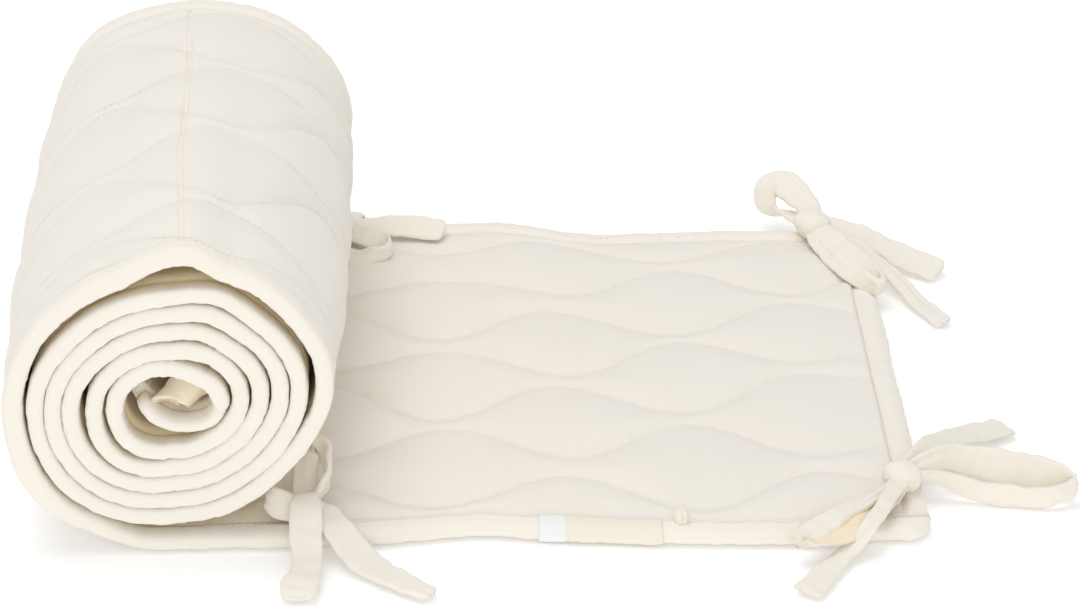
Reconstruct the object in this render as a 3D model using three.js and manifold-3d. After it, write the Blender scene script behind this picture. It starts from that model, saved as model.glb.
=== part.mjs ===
// Crib bumper: a long quilted pad, most of it rolled up and the rest laid out flat on the floor,
// with a rounded edge binding, four bow ties, a loose tie in the core, a blank label and a button.
// Millimetres, Z up, floor at z = 0. The origin lies on the floor under the axis of the roll.
// X runs along the flat part, Y across the pad.
import * as THREE from "three";
import { mergeVertices } from "three/addons/utils/BufferGeometryUtils.js";
import Module from "manifold-3d";

const wasm = await Module();
wasm.setup();

// Driving sizes of the pad.
const PAD_WIDTH = 300;
const FLAT_REACH = 330;
const FLAT_HALF = 4.2;
const ROLLED_HALF = 3.45;
const THINNED_FROM = 180;
const FLAT_SPOT = 10;
const BINDING_WIDTH = 12;
const SEWN_GAP = 0.3;
const HALF_WIDTH = PAD_WIDTH / 2;
const PANEL_EDGE = HALF_WIDTH - BINDING_WIDTH;
const PANEL_END_X = FLAT_REACH - BINDING_WIDTH - SEWN_GAP;

// The roll: height of its axis, and the distance from the axis to the middle of the pad. Angles run
// from the bottom of the roll to the left, the top and the right, in degrees.
const AXIS_HEIGHT = 70.5;
const FIRST_RADIUS = 66.3;

// The outer turn is dented at its near end and rounder at its far end.
const OUTER_TURN = [
  { angle: 30, near: 67.0, far: 67.0 },
  { angle: 45, near: 69.0, far: 69.0 },
  { angle: 60, near: 69.2, far: 69.5 },
  { angle: 75, near: 68.2, far: 69.6 },
  { angle: 90, near: 67.5, far: 69.4 },
  { angle: 105, near: 65.5, far: 67.6 },
  { angle: 120, near: 63.8, far: 67.4 },
  { angle: 135, near: 61.4, far: 68.6 },
  { angle: 150, near: 60.6, far: 67.2 },
  { angle: 163, near: 60.6, far: 65.6 },
  { angle: 180, near: 66.2, far: 65.9 },
  { angle: 190, near: 68.8, far: 66.2 },
  { angle: 203, near: 65.8, far: 67.2 },
  { angle: 215, near: 67.2, far: 68.4 },
  { angle: 240, near: 68.2, far: 69.9 },
  { angle: 252, near: 69.4, far: 70.1 },
  { angle: 270, near: 66.2, far: 68.7 },
  { angle: 285, near: 60.8, far: 64.0 },
  { angle: 300, near: 56.4, far: 58.4 },
  { angle: 315, near: 54.3, far: 55.3 },
  { angle: 340, near: 53.0, far: 53.0 },
];

// The turns inside it, read at the near end.
const INNER_TURNS = [
  { angle: 0, second: 52.9, third: 45.1, fourth: 37.4, fifth: 29.7, sixth: 22.0 },
  { angle: 45, second: 59.1, third: 51.3, fourth: 43.5, fifth: 35.0, sixth: 24.9 },
  { angle: 90, second: 57.9, third: 50.2, fourth: 42.5, fifth: 32.2, sixth: 23.4 },
  { angle: 135, second: 50.0, third: 42.3, fourth: 34.6, fifth: 26.9, sixth: 19.2 },
  { angle: 180, second: 48.9, third: 41.1, fourth: 33.2, fifth: 24.7, sixth: 16.8 },
  { angle: 205, second: 54.0, third: 45.4, fourth: 36.0, fifth: 27.0, sixth: 17.0 },
  { angle: 225, second: 54.4, third: 46.2, fourth: 37.6, fifth: 29.3, sixth: 18.4 },
  { angle: 250, second: 57.4, third: 49.2, fourth: 40.2, fifth: 31.2, sixth: 21.4 },
  { angle: 270, second: 55.8, third: 47.6, fourth: 39.2, fifth: 30.8, sixth: 22.4 },
  { angle: 290, second: 51.0, third: 43.2, fourth: 35.5, fifth: 28.0 },
  { angle: 315, second: 46.6, third: 39.1, fourth: 31.6, fifth: 24.2 },
  { angle: 340, second: 45.2, third: 37.7, fourth: 30.2, fifth: 22.7 },
];
const INNER_NAMES = ["second", "third", "fourth", "fifth", "sixth"];
const DENT_DEPTH = 4;

// The inner end of the pad leaves the last turn and lies across the core.
const CORE_END = [
  { x: 19.2, z: 64.0 },
  { x: 15.6, z: 61.4 },
  { x: 11.0, z: 60.2 },
  { x: 5.5, z: 60.0 },
  { x: 0.0, z: 60.9 },
  { x: -5.0, z: 63.4 },
  { x: -9.3, z: 67.4 },
  { x: -13.2, z: 72.6 },
];

// The roll is a little taller at its near end and wider at its far end.
const TAPER = { wider: 0.02, lower: 0.028, shift: -1.95 };

// How far the near and far edges of the flat part lie off their straight lines.
const EDGE_DRIFT = [
  { x: 0, near: 0, far: 0 },
  { x: 45, near: 0.5, far: 2 },
  { x: 90, near: 2.5, far: 6 },
  { x: 129, near: 7.5, far: 8 },
  { x: 166, near: 4, far: 3 },
  { x: 203, near: 0.5, far: -2 },
  { x: 254, near: -2.5, far: -1 },
  { x: 298, near: -1, far: -2.5 },
  { x: 330, near: 1, far: -2.5 },
];

// Ogee quilting: wavy seams along the pad, each the mirror of its neighbour.
const SEAM_PERIOD = 113.4;
const SEAM_PHASE = -2.8;
const SEAMS = [
  { centre: -116, swing: -15 },
  { centre: -73, swing: 15 },
  { centre: -31, swing: -15.5 },
  { centre: 8, swing: 15 },
  { centre: 45, swing: -14.5 },
  { centre: 85, swing: 13.5 },
  { centre: 125, swing: -11.5 },
];
const SEAM_SINK = 1.8;
const PUFF_RISE = 3.9;
const BELLY = 2.2;
const PUFF_WIDTH = 28;
const END_FADE = 9;
const CELL_STEPS = 4;

// Steps along the pad.
const FLAT_STEP = 11;
const OUTER_TURN_STEP = 7.2;
const INNER_TURN_STEP = 18;
const CORE_STEPS = 8;

const COLOURS = {
  panel: 0xece6da,
  binding: 0xf3eddf,
  tie: 0xf3ebdc,
  label: 0xf6f3ec,
  button: 0xf0e6d2,
};

function cloth(colour) {
  return new THREE.MeshStandardMaterial({ color: colour, roughness: 0.92, metalness: 0 });
}

function lerp(a, b, t) {
  return a + (b - a) * t;
}

// Smooth curve through the rows of a table, read at one column.
function readTable(rows, key, at, column) {
  const last = rows.length - 1;
  let i = 0;
  while (i < last - 1 && at > rows[i + 1][key]) {
    i += 1;
  }
  const slope = (k) => {
    const a = rows[Math.max(k - 1, 0)];
    const b = rows[Math.min(k + 1, last)];
    return rows[k].slope ?? (b[column] - a[column]) / (b[key] - a[key]);
  };
  const span = rows[i + 1][key] - rows[i][key];
  const t = Math.min(Math.max((at - rows[i][key]) / span, 0), 1);
  const t2 = t * t;
  const t3 = t2 * t;
  return (2 * t3 - 3 * t2 + 1) * rows[i][column] + (t3 - 2 * t2 + t) * span * slope(i)
    + (3 * t2 - 2 * t3) * rows[i + 1][column] + (t3 - t2) * span * slope(i + 1);
}

const flatSpotAngle = THREE.MathUtils.radToDeg(Math.atan(FLAT_SPOT / FIRST_RADIUS));
const lastAngle = INNER_NAMES.length * 360 + 270;

function radiusKnots() {
  const tilt = THREE.MathUtils.degToRad(flatSpotAngle);
  const start = FIRST_RADIUS / Math.cos(tilt);
  const startSlope = THREE.MathUtils.degToRad(start * Math.tan(tilt));
  const knots = [{ angle: flatSpotAngle, radius: start, slope: startSlope }];
  OUTER_TURN.forEach((row) => knots.push({ angle: row.angle, radius: row.near }));
  INNER_NAMES.forEach((name, turn) => {
    const read = INNER_TURNS.filter((row) => row[name] !== undefined);
    read.forEach((row) => knots.push({ angle: (turn + 1) * 360 + row.angle, radius: row[name] }));
  });
  return knots;
}

const RADIUS_KNOTS = radiusKnots();

// The dent of the near end is shared by the turns under it, less and less towards the core.
function radiusAt(angle, u) {
  const near = readTable(RADIUS_KNOTS, "angle", angle, "radius");
  const share = Math.max(1 - Math.max(angle - 360, 0) / (360 * DENT_DEPTH), 0);
  const around = angle % 360;
  const dent = readTable(OUTER_TURN, "angle", around, "far") - readTable(OUTER_TURN, "angle", around, "near");
  return near + (dent * share * (u + 1)) / 2;
}

function rollPoint(angle, u) {
  const radius = radiusAt(angle, u);
  const turn = THREE.MathUtils.degToRad(angle);
  return { x: -radius * Math.sin(turn), z: AXIS_HEIGHT - radius * Math.cos(turn) };
}

// The middle of the pad at a station, and the direction that its underside or outer face looks.
function middleAt(station, u) {
  if (station.angle === undefined) {
    return station;
  }
  const reach = Math.min(INNER_TURN_STEP / 4, (station.angle - flatSpotAngle) / 2);
  const back = rollPoint(station.angle - reach, u);
  const ahead = rollPoint(station.angle + reach, u);
  const length = Math.hypot(ahead.x - back.x, ahead.z - back.z);
  if (length === 0) {
    return { ...rollPoint(station.angle, u), outX: 0, outZ: -1 };
  }
  const outX = (back.z - ahead.z) / length;
  const outZ = (ahead.x - back.x) / length;
  return { ...rollPoint(station.angle, u), outX, outZ };
}

// Stations along the pad, from the flat end to the core: the place of its middle, half its
// thickness and the length of pad past the roll's axis.
function padStations() {
  const stations = [];
  const flatSteps = Math.round((PANEL_END_X + FLAT_SPOT) / FLAT_STEP);
  for (let i = 0; i < flatSteps; i += 1) {
    const x = lerp(PANEL_END_X, -FLAT_SPOT, i / flatSteps);
    stations.push({ x, z: FLAT_HALF, flat: true, half: FLAT_HALF });
  }
  const outerSteps = Math.round((360 - flatSpotAngle) / OUTER_TURN_STEP);
  for (let i = 0; i <= outerSteps; i += 1) {
    const angle = lerp(flatSpotAngle, 360, i / outerSteps);
    const thinned = Math.max((angle - THINNED_FROM) / (360 - THINNED_FROM), 0);
    stations.push({ ...rollPoint(angle, 0), angle, half: lerp(FLAT_HALF, ROLLED_HALF, thinned) });
  }
  for (let angle = 360 + INNER_TURN_STEP; angle <= lastAngle; angle += INNER_TURN_STEP) {
    stations.push({ ...rollPoint(angle, 0), angle, half: ROLLED_HALF });
  }
  const route = [rollPoint(lastAngle - 20, 0), rollPoint(lastAngle, 0), ...CORE_END];
  const tail = new THREE.CatmullRomCurve3(route.map((p) => new THREE.Vector3(p.x, 0, p.z)), false, "chordal");
  for (let i = 1; i <= CORE_STEPS; i += 1) {
    const point = tail.getPoint(lerp(1 / (route.length - 1), 1, i / CORE_STEPS));
    stations.push({ x: point.x, z: point.z, half: ROLLED_HALF });
  }
  return finishStations(stations);
}

function finishStations(stations) {
  let along = -stations[0].x;
  stations.forEach((station, i) => {
    const before = stations[Math.max(i - 1, 0)];
    const after = stations[Math.min(i + 1, stations.length - 1)];
    if (i > 0) {
      along += Math.hypot(station.x - before.x, station.z - before.z);
    }
    const dx = after.x - before.x;
    const dz = after.z - before.z;
    const length = Math.hypot(dx, dz);
    station.along = along;
    station.outX = station.flat ? 0 : -dz / length;
    station.outZ = station.flat ? -1 : dx / length;
  });
  return stations;
}

// A point of the pad: a station, the place across the pad, the offset towards the underside and the
// reach past the station, away from its neighbour.
function padPoint(station, across, offset, forward = 0) {
  const u = across / HALF_WIDTH;
  const middle = middleAt(station, u);
  const x = middle.x + middle.outX * offset + forward * (station.flat ? 1 : middle.outZ);
  const z = middle.z + middle.outZ * offset - forward * (station.flat ? 0 : middle.outX);
  const lower = 1 - TAPER.lower * u;
  if (!station.flat) {
    return [x * (1 + TAPER.wider * u) + TAPER.shift * u, across, z * lower];
  }
  const fade = 1 - x / FLAT_REACH;
  const side = (u + 1) / 2;
  const near = readTable(EDGE_DRIFT, "x", x, "near");
  const far = readTable(EDGE_DRIFT, "x", x, "far");
  return [x + TAPER.shift * u * fade, across + lerp(near, far, side), z * lower];
}

function seamLines(along) {
  const wave = Math.cos((2 * Math.PI * (along - SEAM_PHASE)) / SEAM_PERIOD);
  return [-PANEL_EDGE, ...SEAMS.map((seam) => seam.centre + seam.swing * wave), PANEL_EDGE];
}

// The quilted face across one station: places across the pad and how far each is raised.
function quiltedRow(along, fade, belly = 0) {
  const lines = seamLines(along);
  const row = [];
  for (let cell = 0; cell + 1 < lines.length; cell += 1) {
    const width = lines[cell + 1] - lines[cell];
    const puff = PUFF_RISE * (1 - Math.exp(-width / PUFF_WIDTH));
    const steps = cell + 2 === lines.length ? CELL_STEPS + 1 : CELL_STEPS;
    for (let i = 0; i < steps; i += 1) {
      const v = i / CELL_STEPS;
      const crown = Math.pow(Math.sin(Math.PI * v), 0.8);
      const across = lerp(lines[cell], lines[cell + 1], v);
      const swell = belly * (1 - (across / PANEL_EDGE) ** 2);
      row.push({ across, rise: (puff * crown - SEAM_SINK) * fade + swell });
    }
  }
  return row;
}

function plainRow() {
  return [{ across: -PANEL_EDGE, rise: 0 }, { across: PANEL_EDGE, rise: 0 }];
}

// Collects points and triangles of one closed mesh.
class Shell {
  constructor() {
    this.points = [];
    this.faces = [];
  }

  add(point) {
    this.points.push(...point);
    return this.points.length / 3 - 1;
  }

  face(a, b, c, flip = false) {
    this.faces.push(...(flip ? [a, c, b] : [a, b, c]));
  }

  // Joins two rows of {id, across} that may have different counts.
  ladder(rowA, rowB, flip = false) {
    let i = 0;
    let j = 0;
    const alike = rowA.length === rowB.length;
    while (i < rowA.length - 1 || j < rowB.length - 1) {
      const behind = alike ? i <= j : rowA[i + 1]?.across <= rowB[j + 1]?.across;
      const stepA = j === rowB.length - 1 || (i < rowA.length - 1 && behind);
      if (stepA) {
        this.face(rowA[i].id, rowA[i + 1].id, rowB[j].id, flip);
        i += 1;
      } else {
        this.face(rowA[i].id, rowB[j + 1].id, rowB[j].id, flip);
        j += 1;
      }
    }
  }

  // Joins rings of point ids in order and closes both ends with fans.
  tube(rings) {
    const count = rings[0].length;
    for (let k = 0; k + 1 < rings.length; k += 1) {
      for (let i = 0; i < count; i += 1) {
        const n = (i + 1) % count;
        this.face(rings[k][i], rings[k][n], rings[k + 1][n]);
        this.face(rings[k][i], rings[k + 1][n], rings[k + 1][i]);
      }
    }
    const first = rings[0];
    const last = rings[rings.length - 1];
    for (let i = 1; i + 1 < count; i += 1) {
      this.face(first[0], first[i + 1], first[i]);
      this.face(last[0], last[i], last[i + 1]);
    }
  }

  geometry() {
    const geometry = new THREE.BufferGeometry();
    geometry.setAttribute("position", new THREE.Float32BufferAttribute(this.points, 3));
    geometry.setIndex(this.volume() < 0 ? this.turned() : this.faces);
    geometry.computeVertexNormals();
    return geometry;
  }

  volume() {
    let sum = 0;
    const p = this.points;
    for (let f = 0; f < this.faces.length; f += 3) {
      const [a, b, c] = [this.faces[f] * 3, this.faces[f + 1] * 3, this.faces[f + 2] * 3];
      sum += p[a] * (p[b + 1] * p[c + 2] - p[b + 2] * p[c + 1])
        - p[a + 1] * (p[b] * p[c + 2] - p[b + 2] * p[c])
        + p[a + 2] * (p[b] * p[c + 1] - p[b + 1] * p[c]);
    }
    return sum / 6;
  }

  turned() {
    const turned = [];
    for (let f = 0; f < this.faces.length; f += 3) {
      turned.push(this.faces[f], this.faces[f + 2], this.faces[f + 1]);
    }
    return turned;
  }
}

const stations = padStations();

// The quilted panel: one strip, flat and then wound, with raised quilting where it shows.
function panelGeometry() {
  const shell = new Shell();
  const rows = stations.slice(0, -2);
  const lay = (station, row, side) => row.map((column) => ({
    across: column.across,
    id: shell.add(padPoint(station, column.across, side * (station.half + column.rise))),
  }));
  const tops = rows.map((station) => {
    const showing = station.flat && station.x > FLAT_SPOT;
    const fade = 1 - Math.exp(-(station.along + PANEL_END_X + 1) / END_FADE);
    const innerFade = Math.min((station.x - FLAT_SPOT) / 30, 1);
    return lay(station, showing ? quiltedRow(station.along, fade * innerFade) : plainRow(), -1);
  });
  const undersides = rows.map((station) => {
    const showing = station.angle > flatSpotAngle && station.angle < 366;
    const fade = showing ? Math.min((station.angle - flatSpotAngle) / 20, 1) : 0;
    const belly = BELLY * fade * Math.min(Math.max((366 - station.angle) / 100, 0), 1);
    return lay(station, showing ? quiltedRow(station.along, fade, belly) : plainRow(), 1);
  });
  const end = (row) => row[row.length - 1].id;
  for (let k = 0; k + 1 < rows.length; k += 1) {
    shell.ladder(tops[k], tops[k + 1]);
    shell.ladder(undersides[k], undersides[k + 1], true);
    shell.face(tops[k][0].id, tops[k + 1][0].id, undersides[k][0].id);
    shell.face(tops[k + 1][0].id, undersides[k + 1][0].id, undersides[k][0].id);
    shell.face(end(tops[k]), end(undersides[k]), end(tops[k + 1]));
    shell.face(end(tops[k + 1]), end(undersides[k]), end(undersides[k + 1]));
  }
  shell.ladder(undersides[0], tops[0]);
  shell.ladder(tops[rows.length - 1], undersides[rows.length - 1]);
  return shell.geometry();
}

// Section of the binding: reach out from the sewn seam and height as a share of the half thickness.
const BINDING_SECTION = [
  { reach: 0, height: -0.6 },
  { reach: 0, height: 0.6 },
  { reach: 3.5, height: 1 },
  { reach: 8.5, height: 0.9 },
  { reach: BINDING_WIDTH - SEWN_GAP, height: 0 },
  { reach: 8.5, height: -1 },
  { reach: 3.5, height: -1 },
];

// Stations of the long bindings: those of the pad, thinned in the first turn, and the rounded corner.
function bindingStations() {
  const corner = [0.98, 0.85, 0.6, 0.3, 0].map((share) => {
    const x = PANEL_END_X + BINDING_WIDTH * share;
    return { x, z: FLAT_HALF, flat: true, half: FLAT_HALF, outX: 0, outZ: -1, along: -x, round: share };
  });
  const thinned = stations.filter((station, i) => !(station.angle < 360) || i % 2 === 0);
  return [...corner.slice(0, -1), ...thinned];
}

function longBinding(side) {
  const shell = new Shell();
  const rings = bindingStations().map((station, i, all) => {
    const round = station.round ? Math.sqrt(1 - station.round ** 2) : 1;
    const last = i === all.length - 1;
    const thin = last ? 0.5 : Math.min(1, 0.45 + 0.55 * round);
    return BINDING_SECTION.map((corner) => {
      const across = side * (PANEL_EDGE + SEWN_GAP + corner.reach * round);
      const lift = station.flat && corner.height < 0 ? 1 : thin;
      return shell.add(padPoint(station, across, -corner.height * station.half * lift));
    });
  });
  shell.tube(rings);
  return shell.geometry();
}

// Binding across an end of the pad, from one long binding to the other.
function endBinding(station, forward) {
  const shell = new Shell();
  const reach = PANEL_EDGE - SEWN_GAP;
  const steps = 8;
  const rings = [];
  for (let i = 0; i <= steps; i += 1) {
    const across = lerp(-reach, reach, i / steps);
    rings.push(BINDING_SECTION.map((corner) => {
      const out = forward * (SEWN_GAP + corner.reach);
      return shell.add(padPoint(station, across, -corner.height * station.half, out));
    }));
  }
  shell.tube(rings);
  return shell.geometry();
}

// Flat ties. Each row holds the middle of the strap, its width and thickness, and the direction across it.
const COLUMNS = ["x", "y", "z", "wide", "thick", "acrossX", "acrossY", "acrossZ"];

function rows(table) {
  return table.map((values) => Object.fromEntries(COLUMNS.map((name, i) => [name, values[i]])));
}

const STRAP_STEP = 6;
const STRAP_EDGE = 0.22;

function strap(table) {
  const knots = rows(table);
  const curve = new THREE.CatmullRomCurve3(knots.map((k) => new THREE.Vector3(k.x, k.y, k.z)), false, "centripetal");
  const steps = Math.max(Math.round(curve.getLength() / STRAP_STEP), 5);
  const shell = new Shell();
  const rings = [];
  for (let i = 0; i <= steps; i += 1) {
    const t = i / steps;
    const at = t * (knots.length - 1);
    const k = Math.min(Math.floor(at), knots.length - 2);
    const read = (name) => lerp(knots[k][name], knots[k + 1][name], at - k);
    const along = curve.getTangent(t);
    const across = new THREE.Vector3(read("acrossX"), read("acrossY"), read("acrossZ"));
    across.addScaledVector(along, -across.dot(along)).normalize();
    const normal = new THREE.Vector3().crossVectors(along, across);
    const half = read("wide") / 2;
    const edge = half - read("wide") * STRAP_EDGE;
    const thick = read("thick") / 2;
    const section = [[-half, 0], [-edge, -thick], [edge, -thick], [half, 0], [edge, thick], [-edge, thick]];
    const middle = curve.getPoint(t);
    rings.push(section.map(([a, b]) => {
      const p = middle.clone().addScaledVector(across, a).addScaledVector(normal, b);
      return shell.add([p.x, p.y, Math.max(p.z, FLOOR_CLEAR)]);
    }));
  }
  shell.tube(rings);
  return shell.geometry();
}

const FLOOR_CLEAR = 0.15;
const KNOT_SIDES = 10;
const KNOT_RINGS = 6;

function knot({ x, y, z, long, wide, high, turn }) {
  const geometry = new THREE.SphereGeometry(0.5, KNOT_SIDES, KNOT_RINGS);
  geometry.scale(long, wide, high);
  geometry.rotateZ(THREE.MathUtils.degToRad(turn));
  geometry.translate(x, y, z);
  return geometry;
}

function solid(geometry) {
  const bare = geometry.clone();
  bare.deleteAttribute("normal");
  bare.deleteAttribute("uv");
  const merged = mergeVertices(bare, 1e-4);
  return new wasm.Manifold(new wasm.Mesh({
    numProp: 3,
    vertProperties: Float32Array.from(merged.attributes.position.array),
    triVerts: Uint32Array.from(merged.index.array),
  }));
}

// A bow is one strap tied in a knot, so its loops, tails and knot are joined into one solid.
function joined(geometries) {
  const body = geometries.map(solid).reduce((sum, next) => sum.add(next));
  const mesh = body.getMesh();
  const geometry = new THREE.BufferGeometry();
  geometry.setAttribute("position", new THREE.Float32BufferAttribute(mesh.vertProperties, 3));
  geometry.setIndex(Array.from(mesh.triVerts));
  geometry.computeVertexNormals();
  return geometry;
}

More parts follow.
